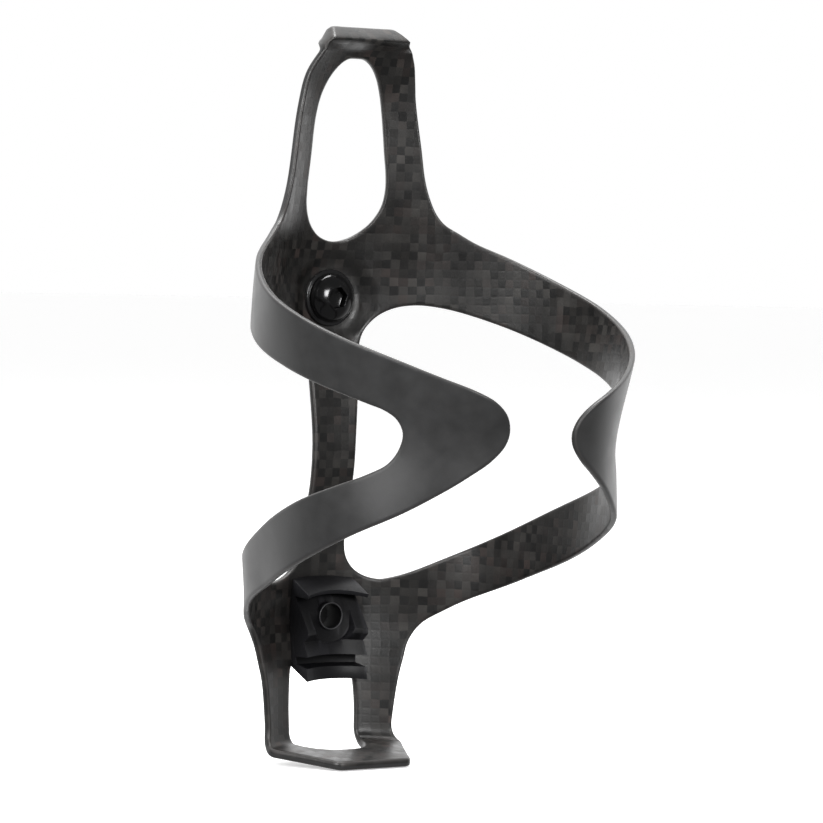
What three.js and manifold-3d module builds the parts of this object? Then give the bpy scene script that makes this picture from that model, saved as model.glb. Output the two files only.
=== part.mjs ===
// A side-winged bottle cage for a bicycle frame: a moulded carbon sheet with its plastic cradle block,
// one button-head bolt and its washer. Millimetres, +Z up, the bottle stands on the -Y side.
// The origin lies on the face that meets the bicycle frame, midway between the two bolt holes.
import * as THREE from 'three';
import { mergeVertices } from 'three/addons/utils/BufferGeometryUtils.js';
import Module from 'manifold-3d';

const wasm = await Module();
wasm.setup();

// ---------------------------------------------------------------- driving dimensions

const standardSpacing = 64; // between the holes of any bicycle frame; the sheet's heights are stated for it
const boltSpacing = 64; // between this cage's two hole centres
const holeDiameter = 5.2; // clearance for an M5 bolt
const bottleRadius = 36.7; // the bottle that the cage is shaped round
const standOff = 8.3; // from the frame face to the bottle's surface
const plateWall = 2.0; // laminate of the spine, the loop and the foot
const wingWall = 1.7; // laminate of the wings
const jointGap = 0.4; // between regions of the sheet that flex against each other
const fitGap = 0.3; // between pieces that touch

const rootAngle = 38; // where a wing leaves the spine, in degrees round the bottle
const loopBaseAngle = 26.5; // half the loop's width above its flared base, in degrees

const boltHeadDiameter = 10;
const boltHeadHeight = 2.8;
const boltLength = 12; // under the head
const shankClearance = 0.4; // of the bolt's shank in the hole, across the diameter
const socketAcrossFlats = 4;
const socketDepth = 2;
const washerDiameter = 11.4;
const washerThickness = 0.8;
const padDiameter = washerDiameter + 2.6; // round pads behind the bolt holes, and the flat seats before them

const lipCreaseHalfWidth = 8.9;
const lipTopHalfWidth = 7.1;
const lipThickness = 2;

const shelfTilt = 7.9; // degrees down towards the front
const shelfWall = 2.2;
const shelfRearHalfWidth = 15.6;
const shelfFrontHalfWidth = 8.3;
const shelfWindowHalfWidth = 6.2; // where the window runs up into the bend
const bendRadius = 3; // inside the bend from the legs to the shelf

const insertWidth = 14.4;
const insertFloor = 3.1; // thickness of the pocket's floor
const insertProjection = 7.1; // from the sheet to the cradle's front corners
const insertScoopRadius = 13; // hollow of the cradle's front edges
const insertWallThickness = 2.4;

// ---------------------------------------------------------------- heights and depths

const bottleAxisDepth = bottleRadius + standOff;
const upperBolt = boltSpacing / 2;
const lowerBolt = -boltSpacing / 2;
const stretch = boltSpacing / standardSpacing;

/** A height of the sheet stated from the upper bolt hole. */
const up = (dz) => upperBolt + dz * stretch;
/** A height of the sheet stated from the lower bolt hole. */
const low = (dz) => lowerBolt + dz * stretch;
/** A depth forward of the frame face, stated from the bottle's surface towards its axis. */
const inward = (distance) => standOff + distance;

const loopCutHeight = up(8.6); // where the loop leaves the spine
const footCutHeight = low(-9); // where the legs leave the spine, on either side of the foot's window
const padFront = inward(-3.4); // front of a pad, and of the seat cut into the sheet before it

const crownHeight = up(48.6); // top of the loop's bars, where the lip starts
const crownDepth = inward(6.5); // of the sheet's middle there
const lipCrease = { depth: inward(10.5), height: crownHeight + 2.6 }; // drops into the bottle's groove
const lipTop = { depth: inward(7.5), height: crownHeight + 5.3 };

const shelfTop = low(-24.1); // height of the shelf where it leaves the legs
const shelfReach = inward(17); // from the frame face to the shelf's front edge
const shelfWindowReach = inward(6.1);

// ---------------------------------------------------------------- the sheet's surface

// Points that the middle of the sheet passes through: angle round the bottle from the spine (degrees),
// height, and distance outside the bottle's surface. The surface is the same on both sides.
const spinePoints = [
  [0, up(48.6), -6.0], [0, up(43), -3.2], [0, up(36), -1.7], [0, up(26), -1.5],
  [0, up(19), -0.3], [0, up(11.5), 2.2], [0, up(0), 4.0], [0, up(-14), 1.6],
  [0, up(-25), 0.4], [0, low(28), 0.7], [0, low(15), 4.4], [0, low(7), 5.2],
  [0, low(-9), 5.5], [0, low(-24.5), 4.5],
];
const shoulderPoints = [
  [22, up(46), -5.4], [23, up(40), -3.9], [26, up(30), -3.4], [30, up(20.6), -3.1],
  [37, up(14), -2.9], [25, up(4), 0.6], [34, up(-2), -0.6], [10, up(-8), 2.4],
  [18, low(7), 3.6], [31, low(-2), 3.2], [24, low(-12), 2.8], [21.6, low(-22), 2.8],
  [36, low(11), 1.9],
];
const wingPoints = [
  [57, up(8.6), -2.2], [57, up(-5.5), -1.1], [76, up(3.7), -1.0], [77, up(-10), -1.4],
  [91, up(0), 0.1], [90, up(-12.5), -1.7], [108, up(-4.5), 0.5], [108, up(-16), -1.6],
  [134, up(-10.4), 1.0], [134, up(-21.5), -1.5], [152, up(-15), 1.9], [161, up(-17.3), 2.0],
  [168, up(-24), -0.8], [163, low(34.7), -1.5], [134, low(36), -2.4], [150, low(29.3), -1.5],
  [128, low(22.3), -2.2], [118, low(30.6), -2.5], [109, low(17.6), -3.7], [98, low(27), -3.3],
  [88, low(11.5), -4.5], [87, low(24.4), -3.8], [68, low(8.6), -3.9], [67, low(20.2), -2.9],
  [45, low(3.4), -0.2], [45, low(13.8), 0.9],
];

/** Solves a square set of linear equations by elimination with pivoting. */
function solve(rows, right) {
  const n = right.length;
  const a = rows.map((row, i) => [...row, right[i]]);
  for (let c = 0; c < n; c += 1) {
    let best = c;
    for (let r = c + 1; r < n; r += 1) {
      if (Math.abs(a[r][c]) > Math.abs(a[best][c])) best = r;
    }
    [a[c], a[best]] = [a[best], a[c]];
    for (let r = 0; r < n; r += 1) {
      if (r === c) continue;
      const factor = a[r][c] / a[c][c];
      for (let k = c; k <= n; k += 1) a[r][k] -= factor * a[c][k];
    }
  }
  return a.map((row, i) => row[n] / row[i]);
}

const degree = Math.PI / 180;
const arcPerDegree = degree * bottleRadius;
const thinPlate = (d2) => (d2 > 0 ? d2 * Math.log(d2) : 0);

/** The thin-plate surface through the points: how far the sheet's middle lies outside the bottle. */
function fittedSurface() {
  const bothSides = [...spinePoints, ...shoulderPoints, ...wingPoints].flatMap(([angle, z, out]) =>
    angle === 0 ? [[0, z, out]] : [[angle, z, out], [-angle, z, out]]);
  const knots = bothSides.map(([angle, z, out]) => [angle * arcPerDegree, z, out]);
  const basis = (a, z) => [
    ...knots.map(([ka, kz]) => thinPlate((a - ka) ** 2 + (z - kz) ** 2)), 1, a, z];
  const rows = knots.map(([a, z]) => basis(a, z));
  const sides = [knots.map(() => 1), knots.map((k) => k[0]), knots.map((k) => k[1])];
  sides.forEach((side) => rows.push([...side, 0, 0, 0]));
  const weights = solve(rows, [...knots.map((k) => k[2]), 0, 0, 0]);
  return (angle, z) => basis(angle * arcPerDegree, z)
    .reduce((sum, value, i) => sum + value * weights[i], 0);
}
const outside = fittedSurface();

/** A point of the sheet: angle round the bottle, height, and offset out from the sheet's middle. */
function sheetPoint(angle, z, offset) {
  const radius = bottleRadius + outside(angle, z) + offset;
  return new THREE.Vector3(
    radius * Math.sin(angle * degree), -bottleAxisDepth + radius * Math.cos(angle * degree), z);
}

// ---------------------------------------------------------------- solids

/** A closed three.js geometry as a manifold-3d solid. */
function solidOf(geometry) {
  const bare = geometry.clone();
  bare.deleteAttribute('normal');
  bare.deleteAttribute('uv');
  const merged = mergeVertices(bare, 1e-4);
  return new wasm.Manifold(new wasm.Mesh({
    numProp: 3,
    vertProperties: merged.attributes.position.array,
    triVerts: new Uint32Array(merged.index.array),
  }));
}

/** A manifold-3d solid as a three.js geometry. */
function geometryOf(solid) {
  const mesh = solid.getMesh();
  const geometry = new THREE.BufferGeometry();
  geometry.setAttribute('position', new THREE.BufferAttribute(mesh.vertProperties, 3));
  geometry.setIndex(new THREE.BufferAttribute(mesh.triVerts, 1));
  return geometry;
}

/** Turns every triangle of an indexed geometry round. */
function turnFaces(geometry) {
  const index = geometry.index.array;
  for (let i = 0; i < index.length; i += 3) {
    [index[i + 1], index[i + 2]] = [index[i + 2], index[i + 1]];
  }
  return geometry;
}

/** A box with many segments whose every point is moved by place(along, across, through). */
function bentBox(alongSteps, acrossSteps, place) {
  const geometry = new THREE.BoxGeometry(1, 1, 1, alongSteps, acrossSteps, 1);
  const position = geometry.attributes.position;
  for (let i = 0; i < position.count; i += 1) {
    const p = place(position.getX(i) + 0.5, position.getY(i) + 0.5, position.getZ(i));
    position.setXYZ(i, p.x, p.y, p.z);
  }
  const solid = solidOf(geometry);
  return solid.volume() < 0 ? solidOf(turnFaces(geometry)) : solid;
}

/** The mirror image of a solid across the middle plane. */
function mirrored(solid) {
  const geometry = geometryOf(solid);
  geometry.scale(-1, 1, 1);
  return solidOf(turnFaces(geometry));
}

/** A shape extruded by a depth along +Z, then moved by a matrix. */
function extruded(shape, depth, matrix) {
  const geometry = new THREE.ExtrudeGeometry(shape, { depth, bevelEnabled: false, curveSegments: 12 });
  return solidOf(geometry.applyMatrix4(matrix));
}

/** A closed outline of [x, y] corners. */
const outlineOf = (corners) => new THREE.Shape(corners.map(([x, y]) => new THREE.Vector2(x, y)));

/** Lays a [depth, height] outline upright on edge, extruded from x = halfWidth towards -X. */
function sideways(halfWidth, y) {
  const matrix = new THREE.Matrix4().makeBasis(
    new THREE.Vector3(0, -1, 0), new THREE.Vector3(0, 0, 1), new THREE.Vector3(-1, 0, 0));
  return matrix.setPosition(halfWidth, y, 0);
}

/** Stands an [x, height] outline up, extruded from y towards the bottle. */
function facing(y) {
  const matrix = new THREE.Matrix4().makeBasis(
    new THREE.Vector3(1, 0, 0), new THREE.Vector3(0, 0, 1), new THREE.Vector3(0, -1, 0));
  return matrix.setPosition(0, y, 0);
}

/** A round bar along Y between two depths forward of the frame face (negative is behind it). */
function crossBar(diameter, frontDepth, backDepth, z) {
  const geometry = new THREE.CylinderGeometry(diameter / 2, diameter / 2, frontDepth - backDepth, 32);
  geometry.translate(0, -(frontDepth + backDepth) / 2, z);
  return solidOf(geometry);
}

/** A smooth curve through points of the (angle, height) plane, sampled by distance along it. */
function edgeCurve(points) {
  const curve = new THREE.CatmullRomCurve3(
    points.map(([angle, z]) => new THREE.Vector3(angle * arcPerDegree, z, 0)), false, 'centripetal');
  return (t) => {
    const p = curve.getPointAt(Math.min(1, Math.max(0, t)));
    return [p.x / arcPerDegree, p.y];
  };
}

/** A value that runs straight between [input, output] pairs. */
function between(pairs, input) {
  const last = pairs[pairs.length - 1];
  if (input <= pairs[0][0]) return pairs[0][1];
  if (input >= last[0]) return last[1];
  const next = pairs.findIndex(([at]) => at > input);
  const [from, to] = [pairs[next - 1], pairs[next]];
  return from[1] + ((to[1] - from[1]) * (input - from[0])) / (to[0] - from[0]);
}

// ---------------------------------------------------------------- wings

// Edges of the right wing as [angle, height]: the upper edge of the upper arm runs out to the tip and
// back along the lower edge of the lower arm, and the inner edge runs round the side opening.
const wingOuterEdge = [
  [rootAngle, up(14.1)], [rootAngle + 8, up(11.4)], [57, up(8.7)], [76, up(3.7)], [91, up(-0.2)],
  [107, up(-4.3)], [120, up(-7.4)], [134, up(-10.6)], [147, up(-13.8)], [157, up(-16.3)],
  [162.8, up(-18.2)], [166.8, up(-21)], [168.2, up(-24)], [167.2, up(-26.4)], [163, low(34.6)],
  [156.7, low(31.9)], [150, low(29.3)], [136, low(24.6)], [119, low(20.2)], [98, low(15)],
  [84.5, low(12)], [68, low(8.6)], [rootAngle + 7, low(3.4)], [rootAngle, low(1)],
];
const wingInnerEdge = [
  [rootAngle, up(-2.3)], [rootAngle + 16, up(-5)], [78, up(-10.1)], [100, up(-14.3)], [116, up(-17.3)],
  [125.3, up(-19.1)], [130.7, up(-20.3)], [134.6, up(-21.9)], [136.4, up(-24.4)], [135.2, low(36.9)],
  [131.6, low(34)], [125, low(32.1)], [115.4, low(29.8)], [95, low(25.9)], [77.4, low(22.3)],
  [56.5, low(17.1)], [rootAngle, low(11.8)],
];

/** The right wing: a ribbon round the side opening, from the upper root to the lower one. */
function rightWing() {
  const outer = edgeCurve(wingOuterEdge);
  const inner = edgeCurve(wingInnerEdge);
  const firstAngle = rootAngle + jointGap / arcPerDegree;
  return bentBox(64, 3, (along, across, through) => {
    const [outerAngle, outerZ] = outer(along);
    const [innerAngle, innerZ] = inner(along);
    const angle = Math.max(firstAngle, innerAngle + (outerAngle - innerAngle) * across);
    return sheetPoint(angle, innerZ + (outerZ - innerZ) * across, through * wingWall);
  });
}

// ---------------------------------------------------------------- spine

// Half the width of the spine between the wings, as [height, angle].
const spineEdge = [
  [footCutHeight, 10], [low(3), 9.4], [low(9.4), 8.0], [low(11), 7.1], [low(16), 6.9], [low(30), 7.5],
  [up(-30), 7.7], [up(-18), 8.2], [up(-10.5), 9], [up(0), 10], [loopCutHeight, 10],
];
// Lower edge of the upper shoulder and upper edge of the lower one, as [angle, height].
const upperShoulderEdge = [
  [5, up(-14)], [8.6, up(-13)], [9.6, up(-9)], [11.4, up(-6.8)], [14, up(-4.6)], [17, up(-3.1)],
  [21, up(-1.9)], [27, up(-1.3)], [rootAngle, up(-2.3)],
];
const lowerShoulderEdge = [
  [5, low(17)], [6.6, low(14)], [7, low(11)], [8.2, low(9.6)], [10.4, low(8.2)], [13.6, low(7.1)],
  [18, low(6.5)], [22, low(7.1)], [27, low(8.6)], [rootAngle, low(11.8)],
];
const lowerShoulderBottom = [
  [24.4, footCutHeight], [25.1, low(-8)], [26.2, low(-5.7)], [30.2, low(-2.1)], [rootAngle, low(1)],
];

/** The spine between the loop, the wings and the foot, with its two drilled pads. */
function spine() {
  const top = loopCutHeight - jointGap;
  const shoulderWall = plateWall - 0.05; // just inside the middle strip, so that their faces don't coincide
  const middle = bentBox(6, 44, (along, across, through) => {
    const z = footCutHeight + (top - footCutHeight) * across;
    return sheetPoint((along * 2 - 1) * between(spineEdge, z), z, through * plateWall);
  });
  const upper = bentBox(30, 5, (along, across, through) => {
    const angle = (along * 2 - 1) * rootAngle;
    const from = between(upperShoulderEdge, Math.abs(angle));
    return sheetPoint(angle, from + (top - from) * across, through * shoulderWall);
  });
  const lower = bentBox(30, 6, (along, across, through) => {
    const angle = (along * 2 - 1) * rootAngle;
    const from = between(lowerShoulderBottom, Math.abs(angle));
    const to = between(lowerShoulderEdge, Math.abs(angle));
    return sheetPoint(angle, from + (to - from) * across, through * shoulderWall);
  });
  const clear = 6; // how far the cutting bars run past the sheet
  let solid = middle.add(upper).add(lower);
  for (const z of [upperBolt, lowerBolt]) {
    // A pad behind the hole, a flat seat before it, and the hole through both.
    solid = solid.add(crossBar(padDiameter, padFront, 0, z));
    solid = solid.subtract(crossBar(padDiameter, padFront + clear, padFront, z));
    solid = solid.subtract(crossBar(holeDiameter, padFront + clear, -clear, z));
  }
  return solid;
}

// ---------------------------------------------------------------- loop and lip

/** An angle on the loop's flared base: share 1 is at the wing's root and share 0 on the straight bars. */
const flare = (share) => loopBaseAngle + (rootAngle - loopBaseAngle) * share;

// Half the loop's width and half its window's width, as [height, angle].
const loopOuterEdge = [
  [loopCutHeight, rootAngle], [up(13.2), rootAngle], [up(15), flare(0.77)], [up(17.2), flare(0.52)],
  [up(20.4), flare(0.31)], [up(24), flare(0.16)], [up(30.4), flare(0)], [up(37), 24.7],
  [up(43.4), 23.1], [up(46.5), 22.2], [crownHeight, 20.6],
];
const loopWindowEdge = [
  [up(11.2), 0], [up(11.8), 4], [up(12.5), 6.9], [up(14.9), 11.2], [up(18.3), 14.1], [up(21.6), 15.1],
  [up(25), 14.9], [up(31.7), 13.7], [up(38.4), 12.4], [up(41.6), 11.5], [up(44.6), 9.8], [up(46.6), 6.8],
  [up(47.6), 4.4], [up(48.1), 0],
];

/** The hooked lip on top of the loop, which drops into the bottle's groove. */
function lip() {
  const half = plateWall / 2;
  const halfWidth = (bottleRadius + outside(20, crownHeight)) * Math.sin(20.4 * degree);
  const slope = lipThickness * Math.SQRT1_2;
  const profile = [
    [lipCrease.depth, lipCrease.height],
    [lipTop.depth, lipTop.height],
    [lipTop.depth - slope, lipTop.height - slope],
    [lipCrease.depth - lipThickness - 0.7, lipCrease.height],
    [crownDepth - half, crownHeight + half],
    [crownDepth - half - 0.6, crownHeight - 1],
    [crownDepth + half, crownHeight - 0.6],
  ];
  const hook = extruded(outlineOf(profile), halfWidth * 2, sideways(halfWidth, 0));
  const corners = [
    [halfWidth, crownHeight - 2],
    [halfWidth, crownHeight],
    [lipCreaseHalfWidth + 0.5, lipCrease.height - 0.5],
    [lipCreaseHalfWidth - 0.4, lipCrease.height + 0.6],
    [lipTopHalfWidth, lipTop.height + 0.1],
  ];
  const outline = [...corners, ...corners.map(([x, z]) => [-x, z]).reverse()];
  return hook.intersect(extruded(outlineOf(outline), lipCrease.depth + 1, facing(0)));
}

/** One bar of the loop: half of the loop, from the middle plane outwards. */
function loopBar() {
  const overlap = 0.4; // degrees past the middle plane, so that the two halves join
  return bentBox(4, 46, (along, across, through) => {
    const z = loopCutHeight + (crownHeight - loopCutHeight) * across;
    const window = between(loopWindowEdge, z);
    const inner = window > 0 ? window : -overlap;
    const outer = between(loopOuterEdge, z);
    return sheetPoint(inner + (outer - inner) * along, z, through * plateWall);
  });
}

/** The loop above the upper bolt with its window and its lip. */
function topLoop() {
  const bar = loopBar();
  return bar.add(mirrored(bar)).add(lip());
}

// ---------------------------------------------------------------- foot

// Half the width over the legs and half their window's width, as [height, angle].
const legOuterEdge = [
  [shelfTop - 1, 21.7], [low(-20.7), 21.8], [low(-13), 23.2], [footCutHeight, 24.4],
];
const legInnerEdge = [
  [shelfTop - 1, 10.4], [low(-19.4), 10.6], [low(-13), 10.3], [footCutHeight, 10],
];

/** One leg of the foot, beside its window. Its front runs forward into the shelf in a bend. */
function leg() {
  const top = footCutHeight - fitGap;
  const bottom = shelfTop - shelfWall;
  return bentBox(4, 18, (along, across, through) => {
    const z = bottom + (top - bottom) * across;
    const inner = between(legInnerEdge, z);
    const outer = between(legOuterEdge, z);
    const share = THREE.MathUtils.clamp((shelfTop + bendRadius - z) / bendRadius, 0, 1);
    const bend = through < 0 ? bendRadius * (1 - Math.sqrt(1 - share ** 2)) : 0;
    return sheetPoint(inner + (outer - inner) * along, z, through * plateWall - bend);
  });
}

/** The shelf under the bottle: a tapering frame, tilted down towards its front. */
function shelf() {
  const rear = -bottleAxisDepth + bottleRadius + outside(20, shelfTop); // where the legs come down
  const widest = rear - 4;
  const shoulder = 2.2; // the rounded corners where the shelf leaves the legs
  const frontCorner = 0.8;
  const halfOutline = [
    [shelfWindowHalfWidth, rear + 0.9],
    [shelfRearHalfWidth - shoulder * 1.5, rear - 0.6],
    [shelfRearHalfWidth, rear - shoulder],
    [shelfRearHalfWidth, widest],
    [shelfFrontHalfWidth + frontCorner, -shelfReach + frontCorner],
    [shelfFrontHalfWidth - frontCorner / 2, -shelfReach],
  ];
  const outline = outlineOf([...halfOutline.map(([x, y]) => [-x, y]), ...[...halfOutline].reverse()]);
  const bulge = shelfWindowHalfWidth + 1.2;
  outline.bezierCurveTo(bulge, widest, bulge, -shelfWindowReach, 0, -shelfWindowReach);
  outline.bezierCurveTo(-bulge, -shelfWindowReach, -bulge, widest, -shelfWindowHalfWidth, rear + 0.9);
  const place = new THREE.Matrix4().makeTranslation(0, 0, shelfTop)
    .multiply(new THREE.Matrix4().makeRotationX(shelfTilt * degree))
    .multiply(new THREE.Matrix4().makeTranslation(0, 0, -shelfWall));
  return extruded(outline, shelfWall, place);
}

/** The two legs and the shelf that the bottle stands on. */
function foot() {
  const right = leg();
  return right.add(mirrored(right)).add(shelf());
}

// ---------------------------------------------------------------- cradle block

/** The moulded block over the lower hole: roof, two ramped walls round a pocket, chin and fin. */
function cradle() {
  const front = insertProjection;
  const at = (dz) => lowerBolt + dz;
  const sheetFace = -bottleAxisDepth + bottleRadius + outside(10, lowerBolt) - plateWall / 2;
  const profile = [
    [-3, at(8)], [0, at(7.8)], // back of the roof, buried in the sheet
    [front, at(4.4)], [front - 0.5, at(3.7)], // the roof's front edge
    [2, at(4)], [front, at(-2.6)], // the walls' ramps
    [front, at(-3.6)], [front - 1.7, at(-5)], [front - 0.1, at(-7.9)], // the chin
    [2.6, at(-8.2)], [2.6, at(-9.6)], // the slot under the chin
    [front - 0.2, at(-10.2)], [front - 0.1, at(-12.9)], // the fin
    [0, at(-9.8)], [-3, at(-9.6)],
  ];
  let block = extruded(outlineOf(profile), insertWidth, sideways(insertWidth / 2, sheetFace));

  const half = insertWidth / 2 - insertWallThickness;
  const pocket = new THREE.Shape();
  pocket.moveTo(-half, at(3.8));
  pocket.lineTo(-half, at(-1.4));
  pocket.quadraticCurveTo(-half, at(-4.6), 0, at(-4.6));
  pocket.quadraticCurveTo(half, at(-4.6), half, at(-1.4));
  pocket.lineTo(half, at(3.8));
  const pastFront = 12;
  block = block.subtract(extruded(pocket, pastFront, facing(sheetFace - insertFloor)));

  const scoop = new THREE.CylinderGeometry(insertScoopRadius, insertScoopRadius, insertWidth * 3, 48);
  const sagitta = insertScoopRadius - Math.sqrt(insertScoopRadius ** 2 - (insertWidth / 2) ** 2);
  scoop.rotateX(Math.PI / 2);
  scoop.translate(0, sheetFace - front + sagitta - insertScoopRadius, lowerBolt);
  block = block.subtract(solidOf(scoop));

  // The back follows the sheet and clears the round pad.
  const sheetSpace = bentBox(8, 10, (along, across, through) => {
    const offset = -plateWall / 2 - fitGap + (through + 0.5) * pastFront;
    return sheetPoint((along * 2 - 1) * 16, at(-14 + 26 * across), offset);
  });
  block = block.subtract(sheetSpace);
  block = block.subtract(crossBar(padDiameter + 2 * fitGap, padFront + fitGap, -fitGap, lowerBolt));
  return block.subtract(crossBar(holeDiameter, padFront + pastFront, -fitGap, lowerBolt));
}

// ---------------------------------------------------------------- fasteners

/** A turned piece whose [radius, height] profile stands forward of the given depth at the upper hole. */
function turned(profile, segments, depth) {
  const geometry = new THREE.LatheGeometry(profile.map(([r, h]) => new THREE.Vector2(r, h)), segments);
  geometry.rotateX(Math.PI);
  geometry.translate(0, -depth, upperBolt);
  return solidOf(geometry);
}

/** The washer under the bolt's head. */
function washer() {
  const inner = holeDiameter / 2;
  const outer = washerDiameter / 2;
  const profile = [[inner, 0], [outer, 0], [outer, washerThickness], [inner, washerThickness], [inner, 0]];
  return turned(profile, 40, padFront + fitGap);
}

/** The button-head bolt with its hexagon socket. */
function bolt() {
  const head = boltHeadDiameter / 2;
  const rim = 0.5; // straight side below the dome
  const lastTurn = 62 * degree;
  const dome = Array.from({ length: 7 }, (_, i) => {
    const turn = (i / 6) * lastTurn;
    const rise = (boltHeadHeight - rim) * (Math.sin(turn) / Math.sin(lastTurn));
    return [head * Math.cos(turn), rim + rise];
  });
  const shank = (holeDiameter - shankClearance) / 2;
  const chamfer = 0.6;
  const profile = [
    [0, -boltLength], [shank - chamfer, -boltLength], [shank, -boltLength + chamfer], [shank, 0], [head, 0],
    ...dome, [0, boltHeadHeight],
  ];
  const seat = padFront + washerThickness + 2 * fitGap;
  const socketRadius = socketAcrossFlats / Math.sqrt(3);
  const socket = new THREE.CylinderGeometry(socketRadius, socketRadius, socketDepth * 2, 6);
  socket.translate(0, -(seat + boltHeadHeight), upperBolt);
  return turned(profile, 36, seat).subtract(solidOf(socket));
}

// ---------------------------------------------------------------- assembly

const carbonInside = { color: 0x23211f, roughness: 0.42, metalness: 0 };
const carbonOutside = { color: 0x1c1d1f, roughness: 0.5, metalness: 0 };
const mouldedPlastic = { color: 0x141416, roughness: 0.6, metalness: 0 };
const blackSteel = { color: 0x0d0d0f, roughness: 0.18, metalness: 0.8 };

/** Adds one named piece to the cage. */
function addPiece(group, name, solid, look) {
  const mesh = new THREE.Mesh(geometryOf(solid), new THREE.MeshStandardMaterial(look));
  mesh.name = name;
  group.add(mesh);
}

const cage = new THREE.Group();
const wing = rightWing();
addPiece(cage, 'spine', spine(), carbonInside);
addPiece(cage, 'right_wing', wing, carbonOutside);
addPiece(cage, 'left_wing', mirrored(wing), carbonOutside);
addPiece(cage, 'top_loop', topLoop(), carbonInside);
addPiece(cage, 'foot', foot(), carbonInside);
addPiece(cage, 'cradle_block', cradle(), mouldedPlastic);
addPiece(cage, 'upper_washer', washer(), blackSteel);
addPiece(cage, 'upper_bolt', bolt(), blackSteel);

export default cage;
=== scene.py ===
"""A side-winged carbon bottle cage with its moulded cradle block, bolt and washer."""

import logging
import math
from dataclasses import dataclass, field
from enum import Enum, IntEnum

import bmesh
import bpy
import numpy as np
from mathutils import Matrix, Vector
from mathutils.geometry import delaunay_2d_cdt


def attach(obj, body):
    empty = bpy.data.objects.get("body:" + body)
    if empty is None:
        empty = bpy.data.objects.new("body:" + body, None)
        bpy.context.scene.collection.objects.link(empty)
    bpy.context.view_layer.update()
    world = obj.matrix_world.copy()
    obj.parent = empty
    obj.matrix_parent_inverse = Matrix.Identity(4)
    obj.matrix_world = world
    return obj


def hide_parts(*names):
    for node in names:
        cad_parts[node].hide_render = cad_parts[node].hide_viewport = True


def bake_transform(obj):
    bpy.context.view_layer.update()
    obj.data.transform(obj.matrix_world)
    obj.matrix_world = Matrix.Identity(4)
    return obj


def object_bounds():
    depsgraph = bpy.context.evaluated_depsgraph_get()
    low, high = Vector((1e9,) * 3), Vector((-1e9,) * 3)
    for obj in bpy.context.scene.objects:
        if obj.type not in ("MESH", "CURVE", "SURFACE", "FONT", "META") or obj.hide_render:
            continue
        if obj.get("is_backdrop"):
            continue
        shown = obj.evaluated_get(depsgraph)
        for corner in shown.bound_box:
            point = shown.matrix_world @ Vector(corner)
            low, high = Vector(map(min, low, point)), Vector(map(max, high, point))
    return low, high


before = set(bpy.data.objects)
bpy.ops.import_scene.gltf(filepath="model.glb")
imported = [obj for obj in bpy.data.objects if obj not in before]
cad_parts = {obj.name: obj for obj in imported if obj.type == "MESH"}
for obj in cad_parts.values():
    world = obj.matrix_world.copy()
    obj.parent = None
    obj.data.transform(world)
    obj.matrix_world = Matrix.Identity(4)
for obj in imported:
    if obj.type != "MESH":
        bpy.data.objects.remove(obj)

LOG = logging.getLogger("bottle_cage")
MM = 0.001
# The sheet's own map, on which its weave is drawn, is in metres times this.
SHEET_MAP_SCALE = 10.0
# The middle of a rounded corner stands in from the square corner by this share of its radius.
ROUND_CORNER = 0.3
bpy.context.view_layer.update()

Outline = list[tuple[float, float]]


class Slot(Enum):
    """The record's material slots."""

    CARBON_WEAVE = "carbon_weave"
    CARBON_SATIN = "carbon_satin"
    MOULDED_PLASTIC = "moulded_plastic"
    BLACK_STEEL = "black_steel"


class Part(IntEnum):
    """The pieces of the moulding."""

    SPINE_AND_FOOT = 0
    RIGHT_WING = 1
    LEFT_WING = 2
    TOP_LOOP = 3


class SheetFace(IntEnum):
    """The two faces of the sheet; the value is the place of its finish on a piece."""

    INNER = 0
    OUTER = 1


class PadFace(IntEnum):
    """The faces of a frame pad; the value is the place of its finish on the piece."""

    OUTSIDE = 0
    # The bore's wall, with painted shade.
    BORE_PAINTED_SHADE = 1


class BlockFace(IntEnum):
    """The faces of the cradle block; the value is the place of its finish on the piece."""

    BODY = 0
    # The collar's rim, with a painted highlight.
    RIM_PAINTED_HIGHLIGHT = 1
    # The hole's wall, with painted shade.
    BORE_PAINTED_SHADE = 2


# ---------------------------------------------------------------- sizes


@dataclass(frozen=True)
class CageSizes:
    """Sizes of the whole cage, in millimetres and degrees."""

    bolt_spacing: float = 64.0
    bottle_radius: float = 36.7
    stand_off: float = 8.3
    plate_wall: float = 1.5
    wing_wall: float = 1.25
    root_angle: float = 38.0
    loop_cut: float = 40.6
    crown_height: float = 80.6
    lip_radius: float = 31.0
    bend_start: float = -55.8
    bend_radius: float = 3.4
    shelf_tilt: float = 5.6
    shelf_level: float = -57.5
    shelf_wall: float = 1.8
    hole_radius: float = 2.75
    # Degrees inside the wing's root where its wall starts to thin, and degrees that it takes.
    thinning_start: float = 4.0
    thinning: float = 10.0
    # Radius of the flat seat round a bolt hole, and the width of its blend into the sheet.
    seat_radius: float = 9.5
    seat_blend: float = 3.2
    # Length of leg above the bend that eases to the shelf's height.
    leg_ease: float = 5.0

    @property
    def axis_depth(self) -> float:
        """Distance from the frame face to the bottle's axis."""
        return self.bottle_radius + self.stand_off

    @property
    def upper_bolt(self) -> float:
        """Height of the upper bolt."""
        return self.bolt_spacing / 2

    @property
    def lower_bolt(self) -> float:
        """Height of the lower bolt."""
        return -self.bolt_spacing / 2

    @property
    def arc(self) -> float:
        """Millimetres round the bottle for one degree."""
        return math.radians(1.0) * self.bottle_radius


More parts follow.
